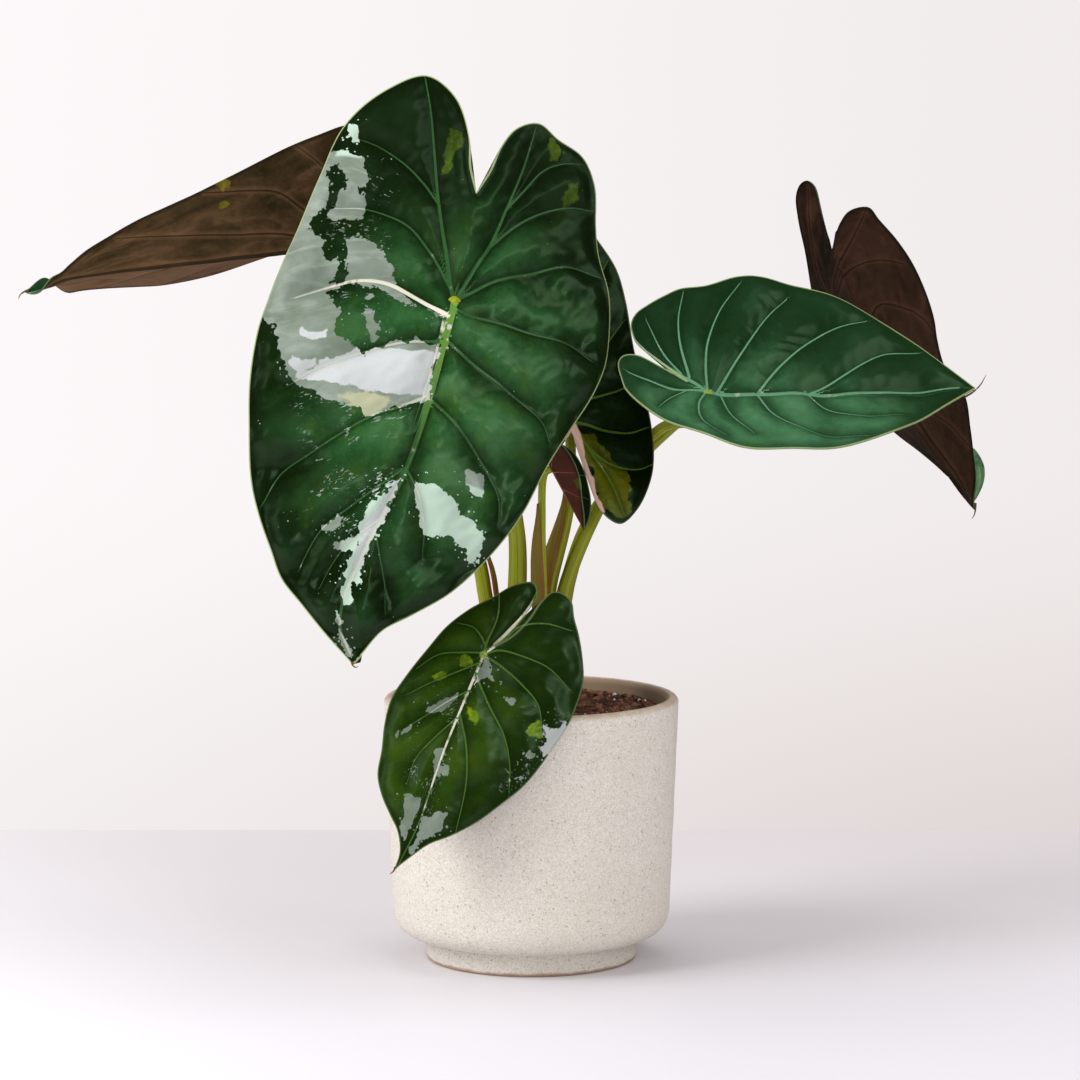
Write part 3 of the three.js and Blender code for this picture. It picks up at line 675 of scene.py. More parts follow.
# %% Patches
patches = {
    "main": [
        ("speckled", [(84, 6), (90, 40), (120, 44), (134, 34), (140, 14), (132, 6), (120, 2), (96, 2)]),
        ("speckled", [(52, 4), (58, 60), (76, 64), (96, 44), (84, 22), (70, 6)]),
        ("speckled", [(-62, 36), (-62, 76), (-20, 70), (14, 56), (12, 22), (-14, 30), (-34, 40)]),
        ("pale", [(-62, 80), (-62, 72), (-63, 66), (-60, 60), (-53, 56), (-47, 55), (-38, 51), (-22, 45),
                  (-16, 38), (-10, 33), (0, 27), (6, 17), (8, 2), (15, 1), (27, 1), (33, 3), (47, 1),
                  (51, 2), (59, 17), (65, 26), (62, 38), (60, 52), (57, 63), (48, 71), (37, 78),
                  (31, 79), (25, 85), (22, 92), (2, 92), (-24, 88), (-47, 84)]),
        ("green", [(-55, 74), (-57, 69), (-51, 68), (-48, 64), (-43, 62), (-43, 67), (-36, 66),
                   (-35, 69), (-43, 72), (-50, 73)]),
        ("green", [(-47, 59), (-49, 57), (-45, 55), (-42, 56), (-44, 58)]),
        ("green", [(-30, 76), (-33, 70), (-28, 64), (-31, 57), (-32, 48), (-29, 39), (-22, 37),
                   (-21, 45), (-23, 51), (-20, 56), (-11, 53), (1, 54), (3, 60), (-2, 57), (-10, 59),
                   (-5, 62), (-13, 66), (-18, 66), (-20, 72)]),
        ("green", [(7, 60), (3, 54), (1, 44), (1, 35), (6, 28), (8, 22), (7, 15), (12, 0), (18, -2),
                   (24, 0), (23, 13), (28, 25), (36, 36), (34, 41), (30, 49), (24, 52), (16, 51),
                   (11, 55)]),
        ("pale", [(11, 40), (15, 36), (21, 29), (29, 30), (31, 33), (23, 38)]),
        ("pale", [(4, 42), (4, 37), (7, 37), (8, 40)]),
        ("pale", [(-76, 69), (-76, 66), (-70, 63), (-67, 65), (-70, 68)]),
        ("pale", [(89, -3), (89, -11), (92, -21), (97, -29), (100, -36), (106, -40), (117, -43),
                  (117, -37), (113, -34), (110, -27), (113, -22), (112, -15), (103, -8)]),
        ("pale", [(74, -23), (75, -27), (78, -31), (79, -35), (86, -36), (87, -31), (82, -25)]),
        ("pale", [(89, 5), (88, 2), (93, 3), (104, 5), (114, 7), (124, 9), (135, 11), (148, 11), (153, 9),
                  (153, 12), (147, 16), (140, 17), (126, 14), (117, 15), (110, 14), (104, 14), (98, 8)]),
        ("pale", [(122, 32), (116, 28), (112, 24), (115, 23), (123, 29)]),
        ("pale", [(128, 25), (123, 20), (121, 15), (126, 15), (129, 20)]),
        ("pale", [(139, 14), (138, 10), (143, 7), (144, 10)]),
        ("pale", [(157, 16), (158, 14), (164, 11), (170, 7), (175, 3), (174, 7), (166, 13)]),
        ("white", [(54, 64), (42, 51), (34, 38), (31, 28), (30, 15), (26, 1), (47, 0), (51, 11),
                   (54, 31), (53, 46)]),
        ("white", [(89, 5), (88, 2), (104, 4), (124, 9), (135, 11), (140, 14), (117, 13), (104, 10)]),
        ("white", [(29, 55), (31, 62), (30, 67), (34, 65), (35, 59), (32, 54)]),
        ("white", [(43, 56), (46, 62), (45, 67), (49, 68), (51, 61), (47, 55)]),
        ("cream", [(59, 41), (55, 35), (54, 26), (56, 16), (62, 22), (67, 28)]),
        ("mint", [(84, -50), (84, 0), (120, 0), (124, -50)]),
        ("mint", [(84, 22), (84, 0), (160, 0), (160, 22)]),
        ("mint", [(-60, 60), (-80, 60), (-80, 72), (-60, 72)]),
        ("lime", [(-60, 21), (-74, 23), (-82, 22), (-85, 17), (-81, 15), (-74, 16), (-69, 18),
                  (-61, 18)]),
        ("lime", [(-95, -25), (-93, -29), (-90, -33), (-83, -31), (-84, -28), (-91, -25)]),
        ("lime", [(-74, -39), (-76, -43), (-70, -46), (-62, -39)]),
    ],
    "leftBack": [
        ("lime", [(52, -37), (48, -39), (44, -37), (48, -35)]),
        ("lime", [(53, -28), (50, -29), (47, -27), (51, -25)]),
    ],
    "centerBack": [
        ("pink", [(-1, -1), (-1, 2), (-12, 6), (-18, 6.5), (-27, 11), (-32, 11.5), (-38, 14), (-41, 16),
                  (-44, 17), (-44, 13), (-42, 9), (-36, 5), (-22, 0), (-10, -3)]),
        ("lime", [(-7, 3), (-6, 11), (-16, 19), (-20, 22), (-23, 28), (-33, 30), (-37, 28), (-41, 28),
                  (-45, 27), (-47, 25), (-45, 20), (-41, 15), (-33, 11), (-29, 9), (-26, 11), (-19, 6),
                  (-14, 5)]),
    ],
    "youngest": [
        ("lime", [(9, 13), (13, 14), (18, 12), (16, 8), (11, 9)]),
    ],
    "lowerFront": [
        ("speckled", [(20, 24), (20, -2), (70, -10), (96, -10), (96, 2), (60, 14)]),
        ("speckled", [(8, -20), (8, -50), (52, -44), (60, -30), (30, -30)]),
        ("pale", [(7, 0), (1, -2), (6, -6), (10, -12), (10, -7), (11, -2)]),
        ("pale", [(34, 14), (29, 11), (23, 6), (20, 2), (27, 4), (33, 9)]),
        ("pale", [(50, 22), (46, 21), (42, 17), (46, 17), (51, 20)]),
        ("pale", [(89, 3), (79, 4), (72, 6), (74, 2), (72, -1), (78, -2), (87, -3), (94, -1)]),
        ("pale", [(85, -5), (79, -5), (80, -10), (74, -11), (73, -15), (78, -16), (83, -14), (86, -15),
                  (89, -10), (96, -7)]),
        ("pale", [(48, 0), (46, -2), (57, -4), (62, -3), (56, 0)]),
        ("pale", [(54, -5), (54, -7), (57, -8), (57, -6)]),
        ("pale", [(33, -38), (30, -42), (34, -43), (36, -39)]),
        ("pale", [(45, -37), (43, -40), (46, -40)]),
        ("pale", [(14, -18), (14, -22), (16, -22), (16, -18)]),
        ("pale white", [(17, -38), (18, -44), (13, -47), (15, -50), (22, -49), (30, -47), (34, -45),
                        (30, -41), (24, -43), (22, -40)]),
        ("lime", [(24, -33), (20, -34), (16, -36), (21, -40), (24, -42), (25, -37)]),
        ("lime", [(6, 11), (3, 7), (4, 2), (8, 2), (9, 8)]),
        ("lime", [(18, 18), (15, 16), (14, 12), (17, 11), (19, 16)]),
        ("lime", [(26, -5), (26, -8), (30, -13), (32, -11), (29, -7)]),
    ],
}
fields = ("pale", "white", "cream", "mint", "lime", "pink", "speckled")
print("patches:", {name: len(outlines) for name, outlines in patches.items()})

# %% [markdown]
# A blade starts as a flat grid between its two margins, with the midrib as its middle line. Each has
# its own fineness, and its own height of the tissue that is puffed up and rippled between the veins.

# %% Blade grids
grids = {"main": (290, 78), "leftBack": (170, 52), "rightFront": (190, 58), "rightBack": (150, 48),
         "centerBack": (160, 48), "youngest": (70, 26), "lowerFront": (190, 56)}
puff = {"main": 3.3, "leftBack": 1.1, "rightFront": 2.1, "rightBack": 1.4, "centerBack": 1.4,
        "youngest": 0.2, "lowerFront": 1.5}
ripples = {"main": 0.12, "leftBack": 0.08, "rightFront": 0.5, "rightBack": 0.12, "centerBack": 0.14,
           "youngest": 0.02, "lowerFront": 0.1}
ripple_spots = {"rightFront": (24, -30, 24)}


def swell(a, c, seed, low, high, count=9):
    """A smooth random surface from a few crossing waves, about -1 to 1 high."""
    draw = random.Random(seed)
    total = 0.0
    for _ in range(count):
        turn = draw.uniform(0, math.pi)
        pitch = 2 * math.pi / draw.uniform(low, high)
        total = total + np.sin(pitch * (a * math.cos(turn) + c * math.sin(turn)) + draw.uniform(0, 6))
    return total / math.sqrt(count)


def flat_grid(leaf, across, row, rows):
    """Places in the flat leaf: across runs -1 to 1 between the margins, and rows from sinus to tip."""
    t = row / rows
    left = curve([leaf["sinus"], *leaf["left"], leaf["tip"]], rows + 1)[row]
    right = curve([leaf["sinus"], *leaf["right"], leaf["tip"]], rows + 1)[row]
    (a0, c0), (a1, c1) = leaf["sinus"], leaf["tip"]
    a = a0 + (a1 - a0) * t ** leaf["sweep"]
    lead = (c0 - midrib_offset(leaf, a0)) * np.maximum(0, 1 - 4 * t)
    c = np.where(row == rows, c1, midrib_offset(leaf, a) + lead)
    spine = np.stack([a, c], -1)
    margin = np.where(across[:, None] < 0, left, right)
    return spine + (margin - spine) * np.abs(across)[:, None]


print("quads in a blade's sheet:", {name: 2 * rows * across for name, (rows, across) in grids.items()})

# %% [markdown]
# The finish of a blade needs numbers at each of its points, such as the distance to the nearest vein
# or the depth inside a patch. They are worked out in the flat leaf and kept as attributes.

# %% Blade numbers
far = 30.0
vein_reach = 3.4
vein_taper = 0.7
ripple_pitch = 8.5


def vein_numbers(name, flat, edge):
    """About the nearest vein: distance, half width, nearness, milkiness, its dent and the ripples."""
    gap = np.full(len(flat), far)
    second, walked, dent = gap.copy(), gap * 0, gap * 0
    cross, half, bright = gap.copy(), gap * 0, gap * 0
    for width, points, *white in veins[name]:
        line = curve(points, spacing=2.5)
        total = np.linalg.norm(np.diff(line, axis=0), axis=1).sum()
        away, along, side = nearest(flat, line)
        thin = 0.5 * width * (1 - vein_taper * along / total)
        dent = np.maximum(dent, thin * np.exp(-(away / (1.5 * thin + 0.8)) ** 2))
        nearer = away < gap
        second = np.where(nearer, gap, np.minimum(second, away))
        walked = np.where(nearer, along, walked)
        cross = np.where(nearer, away * side, cross)
        half = np.where(nearer, thin, half)
        milk = (white[0] if white else 0) * (1 - smooth(along / total * 2 - 1))
        bright = np.where(nearer, milk, bright)
        gap = np.minimum(gap, away)
    clear = np.where(gap < half + 0.3, 1, np.clip((second - gap) / 1.2, 0, 1))
    near = np.clip((vein_reach - gap) / 1.6, 0, 1) * clear
    between = smooth((second - gap) / 6) * smooth(gap / 3) * smooth(edge / 5)
    stray = 2.6 * swell(flat[:, 0], flat[:, 1], 3, 12, 34)
    ripple = np.sin(2 * math.pi * walked / ripple_pitch + stray)
    return dict(cross=cross, half=half, near=near, gap=gap, dent=dent, bright=bright,
                ripple=ripple * between)


def patch_depths(name, flat):
    depth = {key: np.full(len(flat), -far) for key in fields}
    for kinds, outline in patches.get(name, []):
        inside = inside_depth(flat, outline)
        for kind in kinds.split():
            if kind == "green":
                depth["pale"] = np.minimum(depth["pale"], -inside)
            else:
                depth[kind] = np.maximum(depth[kind], inside)
    return depth


print("a place without a vein or a patch counts as", far, "mm away from it")

# %% [markdown]
# The blade could be sculpted, but its relief follows rules. Veins are pressed into the upper face and
# the tissue between them is puffed up, most of it far from the veins and less toward the margin.

# %% Blade relief
puff_reach = 6
rim_calm = 9
dent_share = 0.7


def leaf_ways(leaf, a, c):
    """The way that the upper face looks at each place of the flat leaf, as unit vectors."""
    step = 0.4
    along = leaf_points(leaf, a + step, c) - leaf_points(leaf, a - step, c)
    across = leaf_points(leaf, a, c + step) - leaf_points(leaf, a, c - step)
    ways = np.cross(across, along)
    return ways / np.linalg.norm(ways, axis=1)[:, None]


def blade_relief(name, a, c, edge, numbers):
    """How far the upper face rises over its smooth form: puffed tissue, ripples and vein dents."""
    gap, dent, ripple = (numbers.pop(key) for key in ("gap", "dent", "ripple"))
    seed = list(leaves).index(name)
    calm = smooth(0.5 + 0.7 * swell(a, c, seed + 40, 40, 90, 5))
    if name in ripple_spots:
        middle_a, middle_c, wide = ripple_spots[name]
        calm = np.exp(-((a - middle_a) ** 2 + (c - middle_c) ** 2) / wide ** 2)
    relief = smooth(edge / rim_calm) * (1 - np.exp(-(gap / puff_reach) ** 2)) * puff[name]
    relief = relief + ripples[name] * ripple * calm
    relief = relief + 0.34 * puff[name] * swell(a, c, seed + 20, 18, 50)
    relief = relief + 0.06 * puff[name] * swell(a, c, seed + 60, 5, 12) * smooth(gap / 3)
    return (relief - dent_share * dent) * (0.1 + 0.9 * smooth(edge / 4))


print("tissue is puffed up by as much as", max(puff.values()), "mm")

# %% [markdown]
# Each point of the flat grid is raised by its relief and bent into place. Extruding the sheet along
# its own directions gives the thickness, so the veins of the upper face stand out under the leaf.

# %% Blade mesh
def blade_mesh(name):
    """A closed blade in a bmesh, and the numbers of its finish by attribute name."""
    leaf = leaves[name]
    rows, columns = grids[name]
    bm = bmesh.new()
    bmesh.ops.create_grid(bm, x_segments=2 * columns, y_segments=rows, size=1)
    grid = np.array([vert.co for vert in bm.verts])
    across, row = grid[:, 0], np.round((grid[:, 1] + 1) / 2 * rows).astype(int)
    flat = flat_grid(leaf, across, row, rows)
    rims = [curve([leaf["sinus"], *leaf[side], leaf["tip"]], spacing=2) for side in ("left", "right")]
    edge = np.minimum(nearest(flat, rims[0])[0], nearest(flat, rims[1])[0])
    numbers = dict(patch_depths(name, flat), edge=edge, **vein_numbers(name, flat, edge))
    a, c = flat.T
    relief = blade_relief(name, a, c, edge, numbers)
    # The relief's height is kept for the green tissue's painted light and painted shade.
    numbers["height"] = relief / puff[name]
    upper = leaf_points(leaf, a, c, relief)
    lower = upper - leaf_ways(leaf, a, c) * blade_thickness
    source = bm.verts.layers.int.new("source")
    under = bm.verts.layers.float.new("under")
    for i, vert in enumerate(bm.verts):
        vert.co = upper[i] * mm
        vert[source] = i
    bmesh.ops.remove_doubles(bm, verts=bm.verts, dist=1e-6)
    for vert in new_verts(bmesh.ops.extrude_face_region(bm, geom=bm.faces[:], use_keep_orig=True)):
        vert.co = lower[vert[source]] * mm
        vert[under] = 1
    bmesh.ops.recalc_face_normals(bm, faces=bm.faces)
    order = [vert[source] for vert in bm.verts]
    bm.verts.layers.int.remove(source)
    numbers["flat"] = np.stack([a, c, 0 * a], -1)
    t = row / rows
    numbers["flow"] = np.stack([t * 2 * rows, np.abs(across) * 60, 90.0 * (across > 0)], -1)
    return bm, {key: value[order] for key, value in numbers.items()}


def add_numbers(piece, numbers):
    for key, values in numbers.items():
        vector = values.ndim == 2
        layer = piece.data.attributes.new(key, "FLOAT_VECTOR" if vector else "FLOAT", "POINT")
        layer.data.foreach_set("vector" if vector else "value", values.astype(float).ravel())


print("a blade is", blade_thickness, "mm thick")

# %% [markdown]
# The colours of each blade, as tones read from the photograph. The first table holds what most
# blades share: fresh green in the lime patches, and a bronze underside with brown ribs, as this
# kind of plant has; the underside's folds get painted light and shade. `center` and `size` say
# where a blade's lighter middle lies: away from it the green darkens, partly its own tone and
# partly painted shade. `band` says how much painted light the underside's lit half gets.

# %% Blade colours
plain_look = dict(flecks=0, spine=0, cover=1, band=0.5, lime=(84, 100, 10), rib=(120, 96, 60),
                  bronze=(60, 44, 28), glow=(80, 60, 42))
folded_look = dict(plain_look, dark=(20, 46, 22), mid=(60, 116, 84), light=(96, 140, 112),
                   vein=(100, 150, 116), warm=(60, 90, 30), ribs=0.5, gloss=0.1)
looks = {
    "main": dict(
        plain_look, center=(42, -2), size=(112, 78), dark=(6, 15, 0), mid=(30, 72, 32),
        light=(80, 126, 80), vein=(58, 104, 56), warm=(60, 86, 8), lime=(66, 86, 8),
        flecks=1, rim=0.9, gloss=0.27, ribs=0.35, spine=0.55),
    "leftBack": dict(
        folded_look, center=(40, 0), size=(120, 60), lime=(112, 104, 26), rib=(30, 18, 8),
        bronze=(42, 30, 13), glow=(108, 80, 57), rim=0.2, band=1),
    "rightFront": dict(
        plain_look, center=(20, 30), size=(112, 62), dark=(12, 36, 12), mid=(50, 94, 60),
        light=(90, 134, 100), vein=(88, 132, 100), warm=(44, 84, 34),
        flecks=0.05, rim=0.7, gloss=0.28, ribs=0.75),
    "rightBack": dict(
        folded_look, center=(20, 4), size=(90, 50), rib=(24, 10, 8), bronze=(21, 9, 5),
        glow=(74, 47, 36), rim=0.15, band=0.2),
    "centerBack": dict(
        plain_look, center=(20, 0), size=(90, 45), dark=(5, 14, 1), mid=(12, 28, 3),
        light=(28, 50, 12), vein=(84, 112, 30), warm=(30, 40, 0), lime=(96, 100, 10),
        flecks=0.3, rim=0.3, gloss=0.2, ribs=0.6),
    "youngest": dict(
        plain_look, center=(10, 0), size=(30, 20), dark=(10, 20, 6), mid=(16, 34, 12),
        light=(34, 60, 26), vein=(90, 130, 80), warm=(40, 50, 10), lime=(84, 110, 30),
        rib=(170, 112, 96), bronze=(56, 19, 11), glow=(86, 36, 26), rim=0.3, gloss=0.1, ribs=0.6),
    "lowerFront": dict(
        plain_look, center=(30, 4), size=(85, 42), dark=(12, 28, 1), mid=(36, 62, 6),
        light=(70, 92, 26), vein=(76, 110, 42), warm=(62, 80, 2), lime=(118, 148, 18),
        flecks=1, rim=0.3, gloss=0.27, ribs=0.5, cover=0.72),
}
print("blades with flecks:", [name for name, look in looks.items() if look["flecks"] > 0])

# %% [markdown]
# A blade has three tissues. Green tissue is darker toward the rim, partly its own tone and partly
# painted shade where the blade curls away from the lamps; it has painted light on what is puffed
# up and painted shade in the hollows beside the veins. Tissue without green shows grey, white or
# cream. The underside is bronze with dark ribs, with painted light and shade on its folds and
# painted light on the half that faces the lamps. Painting an image would fix the size of the
# detail, so each tissue is layers of noise on the flat leaf's places.

# %% Blade tissues
def shaded(color, factor):
    return [factor * channel for channel in color]


def green_tissue(paint, look, flat, cloud, fine):
    middle = {0: flat, 1: (*look["center"], 0)}
    centered = paint.node("ShaderNodeVectorMath", {"operation": "SUBTRACT"}, middle)
    centered = paint.scaled(centered, (1 / look["size"][0], 1 / look["size"][1], 0))
    # Darker toward the rim: partly the leaf's own tone and partly painted shade where the blade curls away
    # from the lamps.
    outward = (paint.length(centered) + (cloud - 0.5) * 0.9).step(0.3, 1.05)
    # The relief's height drives painted light on puffed tissue and painted shade in the hollows.
    puffed = paint.attribute("height")
    net = paint.node("ShaderNodeTexVoronoi", {"feature": "DISTANCE_TO_EDGE"},
                     {"Vector": flat, "Scale": 0.3})
    warm = paint.noise(flat, 0.06, 4, 0.65, 0.6)
    return paint.coat(
        paint.mix(cloud.step(0.5, 0.75) * 0.5, look["mid"], look["light"]),
        # painted light on puffed tissue
        (puffed.step(0.6, 1.7) * 0.4, look["light"]),
        (fine.step(0.4, 0.75) * 0.14, look["light"]),
        ((1 - net.step(0.0, 0.16)) * 0.05, look["light"]),
        (warm.step(0.46, 0.72) * 0.45, look["warm"]),
        # painted shade toward the rim, partly the leaf's own darker tone
        (outward * 0.92, look["dark"]),
        # painted light: the highest puffs stay mid green even near the dark rim
        (puffed.step(0.9, 1.8) * 0.35, look["mid"]),
        # painted shade in the hollows
        ((1 - puffed.step(-0.2, 0.8)) * 0.62, look["dark"]))


def pale_tissue(paint, flow, cloud, jag, vein, halo):
    streak = paint.noise(paint.scaled(flow, (0.5, 0.05, 1)), 0.8, 4, 0.6)
    fold_shading = paint.noise(paint.scaled(flow, (0.1, 0.06, 1)), 0.6, 4, 0.6, 2.2)
    white = (paint.attribute("white") + jag * 3).step(-0.3, 0.4)
    mint = paint.attribute("mint").step(-1, 1) * (1 - white)
    cream = (paint.attribute("cream") + jag * 4).step(-1, 1.5)
    return paint.coat(
        paint.mix(cloud.step(0.35, 0.7), (106, 118, 104), (134, 145, 134)),
        (streak.step(0.4, 0.7) * 0.12, (94, 108, 94)),
        # painted light on the crests of folds
        (fold_shading.step(0.45, 0.72) * 0.4, (160, 169, 160)),
        (white, (182, 186, 186)),
        (mint, (170, 191, 175)),
        (cream, (166, 168, 138)),
        (vein * 0.8, (196, 198, 186)),
        # painted shade beside the veins
        (halo * 0.2, (104, 116, 104)))


def under_tissue(paint, look, flow, cloud, fine, vein, halo, edge):
    lit_half = paint.axis(flow, 2).step(30, 60)
    deep, glow = shaded(look["bronze"], 0.5), look["glow"]
    fold_shading = paint.noise(paint.scaled(flow, (0.03, 0.07, 1)), 1, 3, 0.5, 1.2)
    return paint.coat(
        paint.mix(cloud.step(0.3, 0.75) * 0.3, look["bronze"], glow),
        # painted light on the half-blade that faces the lamps
        (lit_half * look["band"], glow),
        # painted light on fold crests
        (fold_shading.step(0.5, 0.74) * 0.4, glow),
        # painted shade between folds
        ((1 - fold_shading.step(0.3, 0.5)) * 0.45, deep),
        (fine.step(0.4, 0.8) * 0.15, glow),
        (halo * 0.22, shaded(glow, 1.15)),
        (vein * 0.75, look["rib"]),
        ((1 - edge.step(0.4, 2.4)) * 0.7, deep))


print("depths that the tissues read:", fields)

# %% [markdown]
# One material puts the tissues together. The depths of the patches come from the mesh, and noise
# moves their edges by a few millimetres before a hard step, so they fray as the real ones do. Small
# cells, and streaks along the flow of the leaf, give the flecks that fly off near pale tissue.

# %% Blade finish
def fleck_mask(paint, look, flat, flow, fine, pale):
    gate = paint.noise(flat, 0.07, 3, 0.7).step(0.5, 0.68)
    zone = paint.attribute("speckled").step(-3, 5)
    reach = (0.13 * gate + 0.2 * pale.step(-9, 0)) * look["flecks"]
    flecks = 1 - (paint.cells(flat, 0.36) - reach + 0.3 * (fine - 0.4)).step(-0.015, 0.015)
    streak = paint.noise(paint.scaled(flow, (0.5, 0.36, 1)), 0.9, 4, 0.66, 0.8)
    band = paint.noise(flat, 0.055, 2, 0.5).step(0.42, 0.6)
    return flecks.highest((streak + 0.112 * band * zone).step(0.69, 0.705) * zone)


def blade_paint(name):
    look = looks[name]
    paint = new_paint("blade_" + name)
    flat, flow = (paint.attribute(key, "Vector") for key in ("flat", "flow"))
    edge, cross, half, near = (paint.attribute(key) for key in ("edge", "cross", "half", "near"))
    pale = paint.attribute("pale")
    under = paint.attribute("under").step(0.96, 1.0)
    a, c = paint.axis(flat, 0), paint.axis(flat, 1)
    from_vein = cross.unsigned() - half
    vein = (1 - (from_vein / 0.3).step(-0.5, 0.5)) * near.step(0.05, 0.6)
    halo = (1 - from_vein.step(0.2, 2.6)) * near
    cloud = paint.noise(flat, 0.035, 3, 0.6, 0.4)
    fine = paint.noise(flat, 0.4, 5, 0.62)
    jag = paint.noise(flat, 0.11, 2, 0.5, 0.5) * 2 + paint.noise(flat, 0.42, 3, 0.5) - 1.5
    lime_mask = (paint.attribute("lime") + jag * 4).step(-0.4, 0.6)
    lime = paint.mix(cloud.step(0.4, 0.65), shaded(look["lime"], 0.7), look["lime"])
    lime = paint.mix(fine.step(0.45, 0.7) * 0.4, lime, shaded(look["lime"], 1.3))
    spine = vein * a.step(-4, 0) * (1 - a.step(10, 90)) * (1 - c.unsigned().step(1.8, 2.4))
    flecks = fleck_mask(paint, look, flat, flow, fine, pale)
    pale_mask = (pale + jag * 4.2).step(-0.12, 0.12).highest(flecks)
    milky = vein * (paint.attribute("bright") + jag * 0.7).step(0.2, 0.7)
    upper = paint.coat(
        green_tissue(paint, look, flat, cloud, fine),
        (lime_mask * 0.85, lime),
        # painted shade in the grooves beside the veins
        (halo * 0.4, look["dark"]),
        (vein * (look["ribs"] + 0.4 * fine), look["vein"]),
        (spine * look["spine"], (112, 156, 60)),
        (pale_mask * look["cover"], pale_tissue(paint, flow, cloud, jag, vein, halo)),
        (milky, (206, 202, 184)),
        ((paint.attribute("pink") + jag * 1.5).step(-0.3, 0.3), (228, 184, 172)),
        ((1 - paint.length(flat).step(1.4, 2.2)) * 0.8, (122, 146, 56)),
        ((1 - edge.step(0.3, 0.7)) * look["rim"], (150, 166, 116)))
    lower = under_tissue(paint, look, flow, cloud, fine, vein, halo, edge)
    lower = paint.mix(lime_mask * 0.7, lower, lime)
    paint.set("Specular IOR Level", look["gloss"])
    paint.set("Specular Tint", tone(190, 240, 185))
    roughness = 0.235 + 0.1 * fine + 0.2 * under + 0.14 * (1 - a.step(-90, -10))
    return paint.finish(paint.mix(under, upper, lower), roughness, fine * 0.3 + vein * 2.5, 0.12, 0.7)


for name in leaves:
    mesh, numbers = blade_mesh(name)
    blade = make_piece(f"leaf_{name}", mesh, blade_paint(name), f"blade_{name}")
    add_numbers(blade, numbers)

# %% [markdown]
# Five blades dry out to a short brown drip tip, a thin cone along a hooked line. A cone or any other
# tube starts here as a flat grid that is rolled up: each of its points gets a turn around the tube
# and a row along it.

# %% Drip tips
drip_tips = {
    "main": [(-0.4, 0, 1.5), (0, 0, -0.2), (1.2, 0, -1.2), (2.6, 0, -0.9)],
    "leftBack": [(2, 0, 1), (-1, 0, -0.5), (-2.5, 0, -2), (-3, 0, -3.5)],
    "rightFront": [(-5, 0, -4.5), (-1, 0, -2), (2.5, 0, 1.5), (5, 0, 6)],
    "rightBack": [(0, 0, 3), (0, 0, 0), (-0.6, 0, -3), (-1.8, 0, -5)],
    "lowerFront": [(0.6, 0, 1.5), (0, 0, -0.2), (-0.8, 0, -1), (-2, 0, -1.8)],
}


def rolled(bm, sides, rows):
    """A new grid's points, each with its turn around the tube that it becomes and its row."""
    before = len(bm.verts)
    bmesh.ops.create_grid(bm, x_segments=sides, y_segments=rows, size=1)
    bm.verts.ensure_lookup_table()
    return [(vert, (vert.co.x + 1) * math.pi, round((vert.co.y + 1) / 2 * rows))
            for vert in bm.verts[before:]]


def drip_tips_mesh():
    rows, thick = 12, 0.55
    bm = bmesh.new()
    for name, offsets in drip_tips.items():
        leaf = leaves[name]
        end = leaf_points(leaf, *(np.array([float(x)]) for x in leaf["tip"]))[0]
        line = curve(np.array(offsets) + end, rows + 1)
        ahead = np.gradient(line, axis=0)
        for vert, turn, row in rolled(bm, 8, rows):
            forward = Vector(ahead[row]).normalized()
            side = forward.orthogonal().normalized()
            radius = thick * (1 - row / (rows + 0.5)) ** 0.6
            ring = side * math.cos(turn) + forward.cross(side) * math.sin(turn)
            vert.co = (Vector(line[row]) + ring * radius) * mm
    return closed(bm)


def plain_paint(name, dark, light, scale, roughness):
    paint = new_paint(name)
    grain = paint.noise(paint.place(), scale, 4, 0.6)
    return paint.finish(paint.mix(grain.step(0.3, 0.7), dark, light), roughness, grain, 0.15, 0.5)


dry = plain_paint("dry_tip", (70, 44, 22), (112, 80, 40), 900, 0.5)
make_piece("drip_tips", drip_tips_mesh(), dry)

# %% [markdown]
# The right back blade's margin curls over near its end, so a strip of its green upper face shows
# beside the bronze one. It is a grid along the margin, and Solidify's operator gives it a thickness.

# %% Curled margin
def curl_mesh():
    """A strip along the margin: it rises from the blade, bulges and turns back."""
    leaf = leaves["rightBack"]
    rows, columns, strip_width = 30, 8, 6
    margin = curve([(72, 25.5), (79, 23), (86, 21.5), (92, 20), (99, 17.5)], rows + 1)
    line = leaf_points(leaf, margin[:, 0], margin[:, 1])
    bm = bmesh.new()
    bmesh.ops.create_grid(bm, x_segments=columns, y_segments=rows, size=1)
    for vert in bm.verts:
        part, row = (vert.co.x + 1) / 2, round((vert.co.y + 1) / 2 * rows)
        t = row / rows
        width = strip_width * max(0.03, math.sin(math.pi * min(1, 1.15 * t)) ** 0.7 * (0.55 + 0.5 * t))
        rise = math.sin(part * math.pi * 0.8) * width * 0.45
        shift = Vector((width * part - 0.4, 0.8 + rise, 0.6 * width * part))
        vert.co = (Vector(line[row]) + shift) * mm
    bmesh.ops.solidify(bm, geom=bm.faces[:], thickness=0.5 * mm)
    bmesh.ops.recalc_face_normals(bm, faces=bm.faces)
    return bm


curled = plain_paint("curled_green", (46, 92, 52), (96, 134, 88), 160, 0.35)
make_piece("curled_margin", curl_mesh(), curled)

# %% [markdown]
# Stalks and sheaths are tubes and curled strips along one curve. A flat grid is rolled around the
# curve: its length becomes the stalk's and its width goes once around. The frame that carries the
# circle is the same as the CAD stalk's, so both have the same sides.

# %% Stalk mesh
fit_gap = 0.3


def stalk_curve(leaf, count):
    _, _, normal = leaf_frame(leaf)
    spread = min(*leaf["fold"], 0)
    seat_gap = blade_thickness + leaf["top"] * math.sin(math.radians(-spread))
    seat = Vector(leaf["seat"])
    points = [(*leaf["foot"], stalk_foot), *leaf["path"], seat - normal * leaf["approach"],
              seat - normal * seat_gap]
    return curve(points, count)


def stalk_radius(leaf, part):
    return leaf["base"] + (leaf["top"] - leaf["base"]) * smooth(part * 1.3)


